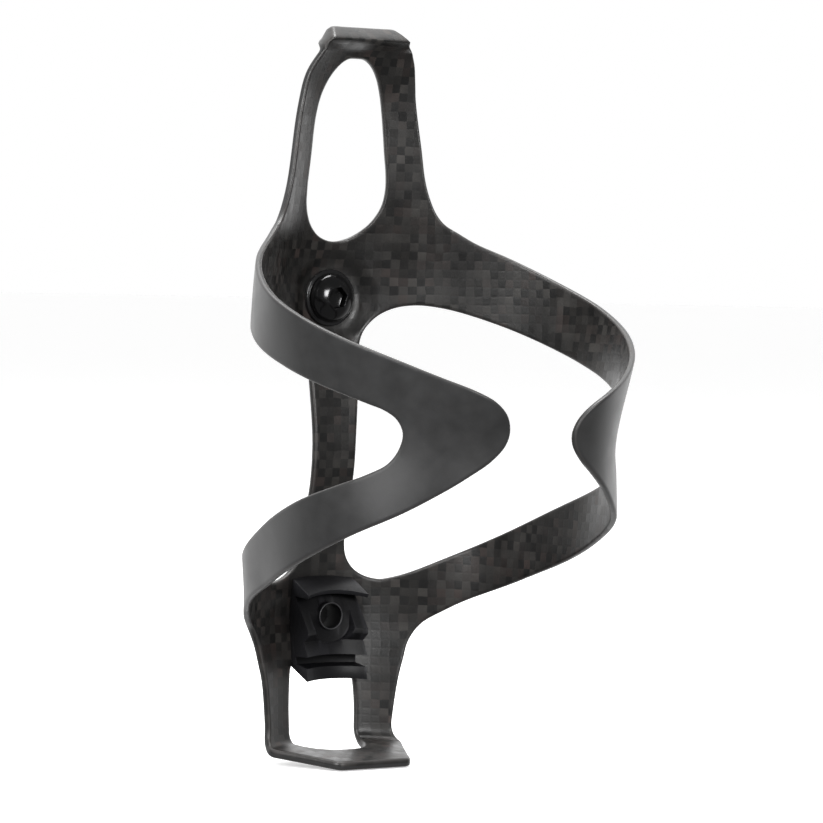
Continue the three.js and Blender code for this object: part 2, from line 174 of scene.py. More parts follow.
# Points that the middle of the laminate passes through: degrees round the bottle, height, and
# distance outside the bottle's surface. The right half; the left half mirrors it.
SPINE_KNOTS = (
    (0, 80.6, -6.0), (0, 75, -2.8), (0, 68, -0.9), (0, 58, -0.6), (0, 51, 0.2), (0, 43.5, 2.2),
    (0, 32, 4.0), (0, 18, 1.6), (0, 7, 0.4), (0, -4, 0.7), (0, -17, 4.4), (0, -25, 5.2),
    (0, -41, 5.5), (0, -56.5, 4.5),
)
SHOULDER_KNOTS = (
    (21.5, 80.6, -7.6), (22.6, 76.5, -5.2), (23, 71, -3.8), (26, 62, -3.4), (30, 52.6, -3.1),
    (37, 46, -2.9), (25, 36, 0.6), (34, 30, -0.6), (10, 24, 2.4), (18, -25, 4.3), (31, -34, 3.2),
    (24, -44, 2.8), (21.6, -54, 2.8), (36, -21, 1.9),
)
WING_KNOTS = (
    (57, 40.6, -2.2), (57, 26.5, -1.1), (76, 35.7, -1.0), (77, 22, -1.4), (91, 32, 0.1),
    (90, 19.5, -1.7), (108, 27.5, 0.5), (108, 16, -1.6), (134, 21.6, 1.0), (134, 10.5, -1.5),
    (152, 17, 1.9), (161, 14.7, 2.0), (168, 8, -0.8), (163, 2.7, -1.5), (134, 4, -2.4),
    (150, -2.7, -1.5), (128, -9.7, -2.2), (118, -1.4, -2.5), (109, -14.4, -3.7), (98, -5, -3.3),
    (88, -20.5, -4.5), (87, -7.6, -3.8), (68, -23.4, -3.9), (67, -11.8, -2.9), (45, -28.6, 0.3),
    (45, -18.2, 0.9),
)

# Front and back of the lip in the middle plane: run above the crown, depth and height of its
# front face, depth and height of its back face.
LIP_STATIONS = (
    (0.0, 15.05, 80.6, 13.55, 80.6), (1.0, 15.8, 81.15, 13.75, 81.25), (2.0, 16.8, 81.7, 14.0, 81.9),
    (3.2, 18.3, 82.3, 14.2, 82.4), (4.1, 19.6, 82.85, 14.4, 82.9), (4.36, 19.85, 83.1, 14.45, 83.0),
    (4.62, 19.7, 83.35, 14.5, 83.1), (6.4, 18.1, 84.6, 14.3, 84.1), (8.4, 16.0, 85.88, 14.1, 85.3),
)
LIP_CREASE_RUN = LIP_STATIONS[5][0]


def smooth_step(value: np.ndarray) -> np.ndarray:
    """Eases 0 to 1 smoothly, clamped outside."""
    t = np.clip(value, 0.0, 1.0)
    return t * t * (3 - 2 * t)


class Laminate:
    """The laminate's shape: from (degrees round the bottle, run along the sheet, side) to a point."""

    def __init__(self, sizes: CageSizes) -> None:
        """Fits the thin-plate surface through the knots.

        Args:
            sizes: the cage's sizes.
        """
        self.sizes = sizes
        right = np.array(SPINE_KNOTS + SHOULDER_KNOTS + WING_KNOTS, float)
        left = right[right[:, 0] > 0] * np.array([-1.0, 1.0, 1.0])
        knots = np.vstack([right, left])
        self.knots = np.column_stack([knots[:, 0] * sizes.arc, knots[:, 1]])
        basis = self._basis(self.knots)
        count = len(knots)
        rows = np.zeros((count + 3, count + 3))
        rows[:count, :] = basis
        rows[count:, :count] = basis[:, count:].T
        self.weights = np.linalg.solve(rows, np.append(knots[:, 2], [0.0, 0.0, 0.0]))

    def _basis(self, points: np.ndarray) -> np.ndarray:
        """Thin-plate terms of each point.

        Args:
            points: arc and height of each point, in millimetres.

        Returns:
            One row for each point: a term for each knot, then 1, arc and height.
        """
        squared = ((points[:, None, :] - self.knots[None]) ** 2).sum(2)
        plate = squared * np.log(np.where(squared > 0, squared, 1.0))
        return np.column_stack([plate, np.ones(len(points)), points])

    def outside(self, angle: np.ndarray, height: np.ndarray) -> np.ndarray:
        """Distance of the laminate's middle outside the bottle's surface.

        Args:
            angle: degrees round the bottle from the spine.
            height: height in millimetres.

        Returns:
            The distances in millimetres, below 0 where the sheet reaches inside the bottle's radius.
        """
        angle, height = np.broadcast_arrays(np.asarray(angle, float), np.asarray(height, float))
        points = np.column_stack([angle.ravel() * self.sizes.arc, height.ravel()])
        return (self._basis(points) @ self.weights).reshape(angle.shape)

    def half_wall(self, angle: np.ndarray) -> np.ndarray:
        """Half the laminate's thickness, thinner in the wings.

        Args:
            angle: degrees round the bottle from the spine.

        Returns:
            Half thicknesses in millimetres.
        """
        size = self.sizes
        past = np.abs(angle) - size.root_angle + size.thinning_start
        share = smooth_step(past / size.thinning)
        thick, thin = size.plate_wall / 2, size.wing_wall / 2
        return thick + (thin - thick) * share

    def place(self, angle: np.ndarray, run: np.ndarray, side: np.ndarray) -> np.ndarray:
        """Puts points of the sheet in space.

        Args:
            angle: degrees round the bottle from the spine, to the right.
            run: height, continued along the lip above the crown and along the shelf below the bend.
            side: -1 on the face towards the bottle, 1 on the other, 0 in the middle.

        Returns:
            One row of x, y, z in millimetres for each point.
        """
        size = self.sizes
        turn = np.radians(angle)
        height = np.clip(run, size.bend_start, size.crown_height)
        middle = size.bottle_radius + self.outside(angle, height)
        radius = middle + side * self.half_wall(angle)
        points = np.column_stack([radius * np.sin(turn), radius * np.cos(turn) - size.axis_depth, height])
        points = self._seats(points, side)
        lip = run > size.crown_height
        if lip.any():
            points[lip] = self._lip(turn[lip], middle[lip], run[lip] - size.crown_height, side[lip])
        foot = run < size.bend_start + size.leg_ease
        if foot.any():
            points[foot] = self._shelf(turn[foot], middle[foot], run[foot], side[foot])
        return points

    def _seats(self, points: np.ndarray, side: np.ndarray) -> np.ndarray:
        """Flattens the sheet round the two bolt holes.

        Args:
            points: points of the sheet in millimetres, changed in place.
            side: -1 on the face towards the bottle, 1 on the other.

        Returns:
            The same points.
        """
        size = self.sizes
        for height in (size.upper_bolt, size.lower_bolt):
            depth = size.axis_depth - size.bottle_radius - float(self.outside(0.0, height))
            reach = np.hypot(points[:, 0], points[:, 2] - height)
            share = smooth_step((size.seat_radius - reach) / size.seat_blend)
            target = -depth + side * size.plate_wall / 2
            points[:, 1] += (target - points[:, 1]) * share
        return points

    def _lip(self, turn: np.ndarray, middle: np.ndarray, run: np.ndarray, side: np.ndarray) -> np.ndarray:
        """Points of the hooked lip above the crown.

        Args:
            turn: radians round the bottle from the spine.
            middle: distance of the sheet's middle from the bottle's axis, at the crown.
            run: run along the lip above the crown.
            side: -1 on the front face, 1 on the back face.

        Returns:
            One row of x, y, z in millimetres for each point.
        """
        size = self.sizes
        table = np.array(LIP_STATIONS).T
        front_depth, front_height, back_depth, back_height = (
            np.interp(run, table[0], column) for column in table[1:])
        share = (side + 1) / 2
        depth = front_depth + (back_depth - front_depth) * share
        height = front_height + (back_height - front_height) * share
        centre = size.bottle_radius + float(self.outside(0.0, size.crown_height))
        curve = centre - middle * np.cos(turn)
        straight = smooth_step(run / LIP_CREASE_RUN)
        radius = (middle + side * size.plate_wall / 2) * (1 - straight) + size.lip_radius * straight
        across = radius * np.sin(turn)
        depth = depth + curve * (1 - straight)
        return np.column_stack([across, -depth, height])

    def _shelf(self, turn: np.ndarray, middle: np.ndarray, run: np.ndarray, side: np.ndarray) -> np.ndarray:
        """Points of the legs' lower ends, the bend and the shelf.

        Args:
            turn: radians round the bottle from the spine.
            middle: distance of the sheet's middle from the bottle's axis, at the bend.
            run: run along the sheet.
            side: -1 on the upper face, 1 on the lower face.

        Returns:
            One row of x, y, z in millimetres for each point.
        """
        size = self.sizes
        tilt = math.radians(size.shelf_tilt)
        depth = size.axis_depth - middle * np.cos(turn)
        after_bend = depth + size.bend_radius * (1 - math.sin(tilt))
        bend_height = size.shelf_level - math.tan(tilt) * after_bend + size.bend_radius * math.cos(tilt)
        begin = size.bend_start + size.leg_ease
        share = np.clip((begin - run) / size.leg_ease, 0, 1)
        leg_height = begin + (bend_height - begin) * share
        angle = np.clip((size.bend_start - run) / size.bend_radius, 0, math.pi / 2 - tilt)
        straight = np.clip(size.bend_start - run - size.bend_radius * (math.pi / 2 - tilt), 0, None)
        mid_depth = depth + size.bend_radius * (1 - np.cos(angle)) + straight * math.cos(tilt)
        mid_height = leg_height - size.bend_radius * np.sin(angle) - straight * math.sin(tilt)
        half = size.shelf_wall / 2 + (size.plate_wall - size.shelf_wall) / 2 * np.cos(angle)
        across = (middle + side * half * np.cos(angle)) * np.sin(turn)
        back = side * half * np.cos(angle) * np.cos(turn)
        return np.column_stack([across, -mid_depth + back, mid_height - side * half * np.sin(angle)])

    def on_shelf(self, across: float, depth: float) -> tuple[float, float]:
        """The (angle, run) of a point of the shelf given from above.

        Args:
            across: distance from the middle plane.
            depth: distance forward of the frame face.

        Returns:
            Degrees round the bottle and run along the sheet.
        """
        size = self.sizes
        # Far enough round to pass the shelf's corners.
        angles = np.linspace(0, 40, 400)
        middle = size.bottle_radius + self.outside(angles, size.bend_start)
        angle = float(np.interp(abs(across), middle * np.sin(np.radians(angles)), angles))
        radius = size.bottle_radius + float(self.outside(angle, size.bend_start))
        tilt = math.radians(size.shelf_tilt)
        start = size.axis_depth - radius * math.cos(math.radians(angle))
        gone = depth - start
        bend_depth = size.bend_radius * (1 - math.sin(tilt))
        if gone <= bend_depth:
            swept = math.acos(max(-1.0, min(1.0, 1 - gone / size.bend_radius)))
            run = size.bend_start - size.bend_radius * swept
        else:
            flat = (gone - bend_depth) / math.cos(tilt)
            run = size.bend_start - size.bend_radius * (math.pi / 2 - tilt) - flat
        return math.copysign(angle, across), run


# ---------------------------------------------------------------- outlines of the sheet

# Fine steps between two corners of a closed curve, and the fewest samples of a whole curve.
CURVE_STEPS = 24
FEWEST_SAMPLES = 12
# Points whose distances are worked out at one time.
BATCH = 2000
# Farther than any point of the sheet is from an edge.
FAR_AWAY = 1e9


def closed_curve(points: Outline, spacing: float) -> np.ndarray:
    """A smooth closed curve through points, sampled evenly.

    Args:
        points: corners in order, in millimetres of the flat sheet.
        spacing: distance between samples.

    Returns:
        One row for each sample.
    """
    knots = np.array(points, float)
    count = len(knots)
    fine = []
    for i in range(count):
        p0, p1, p2, p3 = (knots[(i + k - 1) % count] for k in range(4))
        t0, t1, t2, t3 = np.cumsum([0.0, *(max(1e-6, np.linalg.norm(b - a)) ** 0.5
                                          for a, b in ((p0, p1), (p1, p2), (p2, p3)))])
        for t in np.linspace(t1, t2, CURVE_STEPS, endpoint=False):
            a1 = (t1 - t) / (t1 - t0) * p0 + (t - t0) / (t1 - t0) * p1
            a2 = (t2 - t) / (t2 - t1) * p1 + (t - t1) / (t2 - t1) * p2
            a3 = (t3 - t) / (t3 - t2) * p2 + (t - t2) / (t3 - t2) * p3
            b1 = (t2 - t) / (t2 - t0) * a1 + (t - t0) / (t2 - t0) * a2
            b2 = (t3 - t) / (t3 - t1) * a2 + (t - t1) / (t3 - t1) * a3
            fine.append((t2 - t) / (t2 - t1) * b1 + (t - t1) / (t2 - t1) * b2)
    fine = np.array(fine)
    steps = np.linalg.norm(np.roll(fine, -1, 0) - fine, axis=1)
    along = np.append(0.0, np.cumsum(steps))
    samples = max(FEWEST_SAMPLES, int(round(along[-1] / spacing)))
    wanted = np.linspace(0, along[-1], samples, endpoint=False)
    closed = np.vstack([fine, fine[:1]])
    return np.column_stack([np.interp(wanted, along, closed[:, k]) for k in range(2)])


def inside(points: np.ndarray, loop: np.ndarray) -> np.ndarray:
    """Which points lie inside a closed loop.

    Args:
        points: one row of x, y for each point.
        loop: the loop's corners in order.

    Returns:
        True for each point inside.
    """
    start, end = loop, np.roll(loop, -1, 0)
    crossing = np.zeros(len(points), bool)
    for (x0, y0), (x1, y1) in zip(start, end):
        if y0 == y1:
            continue
        spans = (points[:, 1] > y0) != (points[:, 1] > y1)
        crossing ^= spans & (points[:, 0] < (x1 - x0) * (points[:, 1] - y0) / (y1 - y0) + x0)
    return crossing


def edge_distance(points: np.ndarray, loops: list[np.ndarray]) -> np.ndarray:
    """Distance from each point to the nearest loop.

    Args:
        points: one row of x, y for each point.
        loops: closed loops of corners in order.

    Returns:
        One distance for each point.
    """
    nearest = np.full(len(points), FAR_AWAY)
    for loop in loops:
        start, step = loop, np.roll(loop, -1, 0) - loop
        length = (step ** 2).sum(1)
        for first in range(0, len(points), BATCH):
            part = points[first:first + BATCH]
            offset = part[:, None, :] - start[None]
            t = np.clip((offset * step[None]).sum(2) / length[None], 0, 1)
            gap = offset - t[..., None] * step[None]
            found = np.sqrt((gap ** 2).sum(2).min(1))
            nearest[first:first + BATCH] = np.minimum(nearest[first:first + BATCH], found)
    return nearest


@dataclass
class SheetOutlines:
    """The right half of the moulding's edges in the flat sheet.

    Outlines are degrees round the bottle and run. Those on the shelf are distance across and depth.
    """

    laminate: Laminate
    outer: Outline = field(default_factory=lambda: [
        (0, 88.9), (8, 88.9), (12.9, 88.9), (14.0, 88.6), (14.7, 87.9), (15.8, 86.7), (17.1, 85.2),
        (18.3, 84.0), (19.9, 82.6), (21.5, 80.6), (22.9, 78.4), (23.7, 75.4), (24.2, 72.0), (25.0, 68.7),
        (26.7, 62.4), (28.3, 56.0), (30.0, 52.4), (32.4, 49.2), (35.3, 47.1), (40, 45.4), (46, 43.4),
        (57, 40.7), (76, 35.7), (91, 31.8), (107, 27.7), (120, 24.6), (134, 21.4), (147, 18.2),
        (157, 15.7), (163.0, 13.6), (167.0, 10.9), (168.3, 8.0), (167.2, 5.5), (163, 2.6),
        (156.7, -0.1), (150, -2.7), (136, -7.4), (119, -11.8), (98, -17.0), (84.5, -20.0),
        (68, -23.4), (45, -28.6), (37, -31.2), (30.4, -34.0), (26.8, -37.4), (25.3, -41.0),
        (23.8, -45.2), (22.4, -52.0), (22.1, -55.4)])
    shelf_side: Outline = field(default_factory=lambda: [
        (15.4, 9.9), (15.6, 10.9), (15.2, 12.0), (14.1, 14.1), (11.9, 18.4), (9.8, 22.7), (8.9, 24.6),
        (8.4, 25.3), (7.7, 25.65), (6.7, 25.75), (3.5, 25.75)])
    side_opening: Outline = field(default_factory=lambda: [
        (8.3, 12.0), (8.7, 18.5), (9.4, 22.6), (10.9, 25.3), (13.6, 27.5), (16.6, 29.0), (21.0, 30.2),
        (27.0, 30.7), (34.0, 30.3), (41.6, 29.3), (54.5, 26.9), (78, 21.9), (100, 17.6), (116, 14.6),
        (125.3, 12.8), (130.7, 11.6), (134.3, 10.0), (136.0, 7.6), (134.9, 4.8), (131.3, 1.9),
        (125, -0.1), (115.4, -2.2), (95, -6.1), (77.4, -9.8), (56.5, -15.0), (38, -20.2), (27, -23.4),
        (22, -24.5), (18, -24.95), (14.1, -24.4), (11.0, -23.2), (8.9, -21.6), (7.6, -19.6), (7.0, -15.8),
        (7.2, -8.0), (7.5, -2.0), (7.7, 4.0)])
    loop_window: Outline = field(default_factory=lambda: [
        (0, 43.3), (4.0, 43.8), (7.2, 44.8), (11.4, 47.1), (14.4, 50.3), (15.4, 53.6), (15.3, 57.0),
        (14.6, 61.0), (14.0, 65.0), (13.2, 69.0), (11.9, 72.8), (9.9, 75.9), (7.0, 78.2), (3.8, 79.4)])
    leg_window: Outline = field(default_factory=lambda: [
        (0, -40.4), (5.5, -40.4), (8.4, -40.9), (10.0, -42.6), (10.8, -46.0), (11.2, -50.0), (11.2, -55.0)])
    shelf_window: Outline = field(default_factory=lambda: [
        (7.7, 8.4), (6.8, 11.0), (5.0, 13.2), (2.8, 14.4)])
    # Where the outlines meet the middle plane: depths on the shelf, and the run at the loop window's top.
    shelf_front: float = 25.75
    shelf_window_front: float = 14.7
    loop_window_top: float = 79.6
    # Points round a bolt hole, and how far the sheet there stands outside the bottle.
    hole_points: int = 36
    hole_stand: float = 4.5

    def _flat(self, points: Outline) -> Outline:
        """Points in millimetres of the flat sheet."""
        return [(angle * self.laminate.sizes.arc, run) for angle, run in points]

    @staticmethod
    def _both_halves(points: Outline) -> Outline:
        """Adds the mirror image of a half outline that starts on the middle plane."""
        left = [(-a, r) for a, r in reversed(points) if a > 0]
        return [*points, *left]

    def loops(self, spacing: float) -> tuple[np.ndarray, list[np.ndarray]]:
        """The outer edge and the edges of the openings.

        Args:
            spacing: distance between the points of an edge.

        Returns:
            The outer edge, and a list of the edges of the windows, openings and bolt holes, all in
            millimetres of the flat sheet.
        """
        size = self.laminate.sizes
        shelf = [self.laminate.on_shelf(x, depth) for x, depth in self.shelf_side]
        front = self.laminate.on_shelf(0.0, self.shelf_front)
        outer = self._both_halves([*self.outer, *shelf])
        middle = len(self.outer) + len(shelf)
        outer.insert(middle, front)
        window = [*self.leg_window, *(self.laminate.on_shelf(x, d) for x, d in self.shelf_window)]
        foot = self._both_halves(window)
        foot.insert(len(window), self.laminate.on_shelf(0.0, self.shelf_window_front))
        loop = self._both_halves(self.loop_window)
        loop.insert(len(self.loop_window), (0.0, self.loop_window_top))
        right = self.side_opening
        left = [(-a, r) for a, r in reversed(right)]
        holes = [closed_curve(self._flat(o), spacing) for o in (loop, foot, right, left)]
        for height in (size.upper_bolt, size.lower_bolt):
            turn = np.linspace(0, 2 * math.pi, self.hole_points, endpoint=False)
            stretch = size.bottle_radius / (size.bottle_radius + self.hole_stand)
            holes.append(np.column_stack([
                size.hole_radius * np.cos(turn) * stretch, height + size.hole_radius * np.sin(turn)]))
        return closed_curve(self._flat(outer), spacing), holes


# ---------------------------------------------------------------- finishes


class NodeBook:
    """Adds shader nodes to one material and links them by name."""

    def __init__(self, name: str) -> None:
        """Makes the material with its output and shader.

        Args:
            name: the material's name.
        """
        self.material = bpy.data.materials.new(name)
        self.material.use_nodes = True
        self.tree = self.material.node_tree
        self.tree.nodes.clear()
        self.output = self.add("ShaderNodeOutputMaterial")
        self.shader = self.add("ShaderNodeBsdfPrincipled")
        self.join(self.shader, "BSDF", self.output, "Surface")

    def add(self, kind: str, **settings: object) -> bpy.types.Node:
        """Adds one node; a setting is an attribute or, failing that, an input's value.

        Args:
            kind: the node's type.
            settings: values by name.

        Returns:
            The node.
        """
        node = self.tree.nodes.new(kind)
        for key, value in settings.items():
            if hasattr(node, key):
                setattr(node, key, value)
            else:
                node.inputs[key.replace("_", " ").title()].default_value = value
        return node

    def join(self, a: bpy.types.Node, output: str | int, b: bpy.types.Node, socket: str | int) -> None:
        """Links an output to an input."""
        self.tree.links.new(a.outputs[output], b.inputs[socket])

    def math(self, operation: str, first: object, second: object = 0.5) -> bpy.types.Node:
        """A math node on sockets or numbers.

        Args:
            operation: what the node works out.
            first: a socket or a number.
            second: the same.

        Returns:
            The node.
        """
        node = self.add("ShaderNodeMath", operation=operation)
        for index, value in enumerate((first, second)):
            if isinstance(value, (int, float)):
                node.inputs[index].default_value = value
            else:
                self.tree.links.new(value, node.inputs[index])
        return node

    def mix(self, share: object, first: object, second: object) -> bpy.types.Node:
        """Mixes two colours by a share.

        Args:
            share: a socket or a number.
            first: the colour, or its socket, at share 0.
            second: the colour, or its socket, at share 1.

        Returns:
            The node, whose colour comes out of socket 2.
        """
        node = self.add("ShaderNodeMix", data_type="RGBA")
        # A mix node's share is its input 0, and its two colours are its inputs 6 and 7.
        for index, value in ((0, share), (6, first), (7, second)):
            if isinstance(value, bpy.types.NodeSocket):
                self.tree.links.new(value, node.inputs[index])
            else:
                node.inputs[index].default_value = value
        return node

    def span(self, value: bpy.types.NodeSocket, low: float, high: float,
             to_low: float = 0.0, to_high: float = 1.0) -> bpy.types.Node:
        """Maps one range of a value to another.

        Args:
            value: the socket to read.
            low: start of the range read.
            high: end of the range read.
            to_low: start of the range given.
            to_high: end of the range given.

        Returns:
            The node.
        """
        node = self.add("ShaderNodeMapRange")
        self.tree.links.new(value, node.inputs["Value"])
        for name, number in (("From Min", low), ("From Max", high), ("To Min", to_low), ("To Max", to_high)):
            node.inputs[name].default_value = number
        return node


@dataclass(frozen=True)
class WovenCarbon:
    """Satin carbon cloth: a chequer of fibre tows under a thin matt lacquer."""

    name: str
    weave: float = 1.0
    tow_mm: float = 1.75
    dark: tuple[float, float, float, float] = (0.0080, 0.0078, 0.0076, 1.0)
    light: tuple[float, float, float, float] = (0.048, 0.044, 0.040, 1.0)
    warm: tuple[float, float, float, float] = (0.056, 0.039, 0.034, 1.0)
    # Colour of a painted highlight along the sheet's rounded edges, standing in for the light that they
    # catch.
    painted_edge_highlight: tuple[float, float, float, float] = (0.075, 0.070, 0.068, 1.0)
    roughness: float = 0.40
    # Greatest share of the painted edge highlight.
    painted_edge_highlight_share: float = 0.55
    # Noise scales, where 1 is one tow: waves in the cloth, patches, clouds and grain of the lacquer.
    wave_scale: float = 0.35
    patch_scale: float = 0.16
    cloud_scale: float = 0.5
    grain_scale: float = 9.0
    # How far the waves push the tows, in tows, and how fast the fibres ripple across one.
    wave_reach: float = 0.5
    fibre_ripple: float = 62.0
    # Width of a tow's rounded edge, as a share of the tow.
    pillow_edge: float = 0.22
    # Shares of light in the raised squares, and at random.
    chequer_light: float = 0.26
    random_light: float = 0.66
    # Shares of relief: fibres, tows and grain.
    fibre_relief: float = 0.05
    pillow_relief: float = 0.35
    grain_relief: float = 0.25

    def build(self) -> bpy.types.Material:
        """Makes the material.

        Returns:
            The material.
        """
        book = NodeBook(self.name)
        scaled, waved = self._tow_places(book)
        parts = book.add("ShaderNodeSeparateXYZ")
        book.join(waved, 0, parts, 0)
        cell = book.add("ShaderNodeVectorMath", operation="FLOOR")
        book.join(waved, 0, cell, 0)
        random = book.add("ShaderNodeTexWhiteNoise", noise_dimensions="2D")
        book.join(cell, 0, random, "Vector")
        along = book.math("FLOOR", parts.outputs[0])
        across = book.math("FLOOR", parts.outputs[1])
        total = book.math("ADD", along.outputs[0], across.outputs[0])
        chequer = book.math("PINGPONG", total.outputs[0], 1.0)
        cloud = self._noise(book, scaled, self.cloud_scale, 6.0)
        toned = self._colour(book, scaled, cell, chequer, random, cloud)
        # Painted highlight along the rounded edges, led by the rim attribute.
        painted_edge_highlight = book.add("ShaderNodeAttribute", attribute_name="rim")
        painted_edge_highlight_share = book.span(painted_edge_highlight.outputs["Fac"], 0.1, 1.0, 0.0, self.painted_edge_highlight_share)
        final = book.mix(painted_edge_highlight_share.outputs[0], (0, 0, 0, 1), self.painted_edge_highlight)
        book.tree.links.new(toned.outputs[0], final.inputs[6])
        book.join(final, 2, book.shader, "Base Color")
        rough = book.span(random.outputs["Value"], 0, 1, self.roughness - 0.07 * self.weave,
                          self.roughness + 0.09 * self.weave)
        clouding = book.span(cloud.outputs[0], 0.2, 0.8, -0.05, 0.05)
        mottled = book.math("ADD", rough.outputs[0], clouding.outputs[0])
        book.join(mottled, 0, book.shader, "Roughness")
        self._add_relief(book, scaled, parts, chequer)
        book.shader.inputs["Specular IOR Level"].default_value = 0.5
        book.shader.inputs["Coat Weight"].default_value = 0.12
        book.shader.inputs["Coat Roughness"].default_value = 0.32
        return book.material

    @staticmethod
    def _noise(book: NodeBook, place: bpy.types.Node, scale: float, detail: float) -> bpy.types.Node:
        """Adds a noise on the tows' places.

        Args:
            book: the material's nodes.
            place: the node that gives the places.
            scale: size of the noise, where 1 is one tow.
            detail: its fineness.

        Returns:
            The noise's node.
        """
        noise = book.add("ShaderNodeTexNoise")
        noise.inputs["Scale"].default_value = scale
        noise.inputs["Detail"].default_value = detail
        book.join(place, 0, noise, "Vector")
        return noise

    def _tow_places(self, book: NodeBook) -> tuple[bpy.types.Node, bpy.types.Node]:
        """Places on the sheet counted in tows.

        Args:
            book: the material's nodes.

        Returns:
            The even places, and the places in the slightly wavy cloth.
        """
        sheet = book.add("ShaderNodeUVMap", uv_map="sheet")
        scaled = book.add("ShaderNodeVectorMath", operation="SCALE")
        book.join(sheet, 0, scaled, 0)
        scaled.inputs["Scale"].default_value = 1.0 / MM / self.tow_mm / SHEET_MAP_SCALE
        wave = book.add("ShaderNodeTexNoise")
        wave.inputs["Scale"].default_value = self.wave_scale
        book.join(scaled, 0, wave, "Vector")
        waved = book.add("ShaderNodeVectorMath", operation="MULTIPLY_ADD")
        book.join(wave, "Color", waved, 0)
        waved.inputs[1].default_value = (self.wave_reach, self.wave_reach, 0.0)
        book.join(scaled, 0, waved, 2)
        return scaled, waved

    def _colour(self, book: NodeBook, scaled: bpy.types.Node, cell: bpy.types.Node, chequer: bpy.types.Node,
                random: bpy.types.Node, cloud: bpy.types.Node) -> bpy.types.Node:
        """The cloth's colour: a chequer that comes and goes in patches, some of its squares warmer.

        Args:
            book: the material's nodes.
            scaled: the even places in tows.
            cell: the square of each place.
            chequer: 0 or 1 for each square.
            random: one random value for each square.
            cloud: the lacquer's clouds.

        Returns:
            The node that gives the colour.
        """
        patches = self._noise(book, scaled, self.patch_scale, 3.0)
        visible = book.span(patches.outputs[0], 0.36, 0.62, 0.25, 1.0)
        bright = book.math("MULTIPLY", random.outputs["Value"], random.outputs["Value"])
        lights = book.math("MULTIPLY", bright.outputs[0], self.random_light)
        squares = book.math("MULTIPLY_ADD", chequer.outputs[0], self.chequer_light)
        book.tree.links.new(lights.outputs[0], squares.inputs[2])
        shown = book.math("MULTIPLY", squares.outputs[0], visible.outputs[0])
        woven = book.math("MULTIPLY", shown.outputs[0], self.weave)
        tint = book.add("ShaderNodeTexWhiteNoise", noise_dimensions="3D")
        book.join(cell, 0, tint, "Vector")
        warmth = book.span(tint.outputs["Value"], 0.55, 1.0)
        lit = book.mix(warmth.outputs[0], self.light, self.warm)
        colour = book.mix(woven.outputs[0], self.dark, lit.outputs[2])
        shade = book.span(cloud.outputs[0], 0.3, 0.7, 0.82, 1.18)
        toned = book.add("ShaderNodeVectorMath", operation="SCALE")
        book.join(colour, 2, toned, 0)
        book.join(shade, 0, toned, "Scale")
        return toned

    def _add_relief(self, book: NodeBook, scaled: bpy.types.Node, parts: bpy.types.Node,
                    chequer: bpy.types.Node) -> None:
        """Adds the relief: fibres, low pillows for the tows, and the lacquer's grain.

        Args:
            book: the material's nodes.
            scaled: the even places in tows.
            parts: the wavy places, divided into along and across.
            chequer: 0 or 1 for each square.
        """
        # Fibres run across the tow in one set of squares and along it in the other.
        warp, weft = (
            book.math("SINE", book.math("MULTIPLY", parts.outputs[k], self.fibre_ripple).outputs[0])
            for k in (0, 1))
        fibre = book.add("ShaderNodeMix", data_type="FLOAT")
        book.join(chequer, 0, fibre, 0)
        book.join(warp, 0, fibre, 2)
        book.join(weft, 0, fibre, 3)
        edges = [book.math("PINGPONG", parts.outputs[k], 0.5) for k in (0, 1)]
        low = book.math("MINIMUM", edges[0].outputs[0], edges[1].outputs[0])
        pillow = book.span(low.outputs[0], 0.0, self.pillow_edge)
        raised = book.math("MULTIPLY", pillow.outputs[0], self.pillow_relief * self.weave)
        relief = book.math("MULTIPLY_ADD", fibre.outputs[0], self.fibre_relief * self.weave)
        book.tree.links.new(raised.outputs[0], relief.inputs[2])
        grain = self._noise(book, scaled, self.grain_scale, 4.0)
        surface = book.math("MULTIPLY_ADD", grain.outputs[0], self.grain_relief)
        book.tree.links.new(relief.outputs[0], surface.inputs[2])
        bump = book.add("ShaderNodeBump")
        bump.inputs["Strength"].default_value = 0.35
        bump.inputs["Distance"].default_value = 0.1 * MM
        book.join(surface, 0, bump, "Height")
        book.join(bump, 0, book.shader, "Normal")


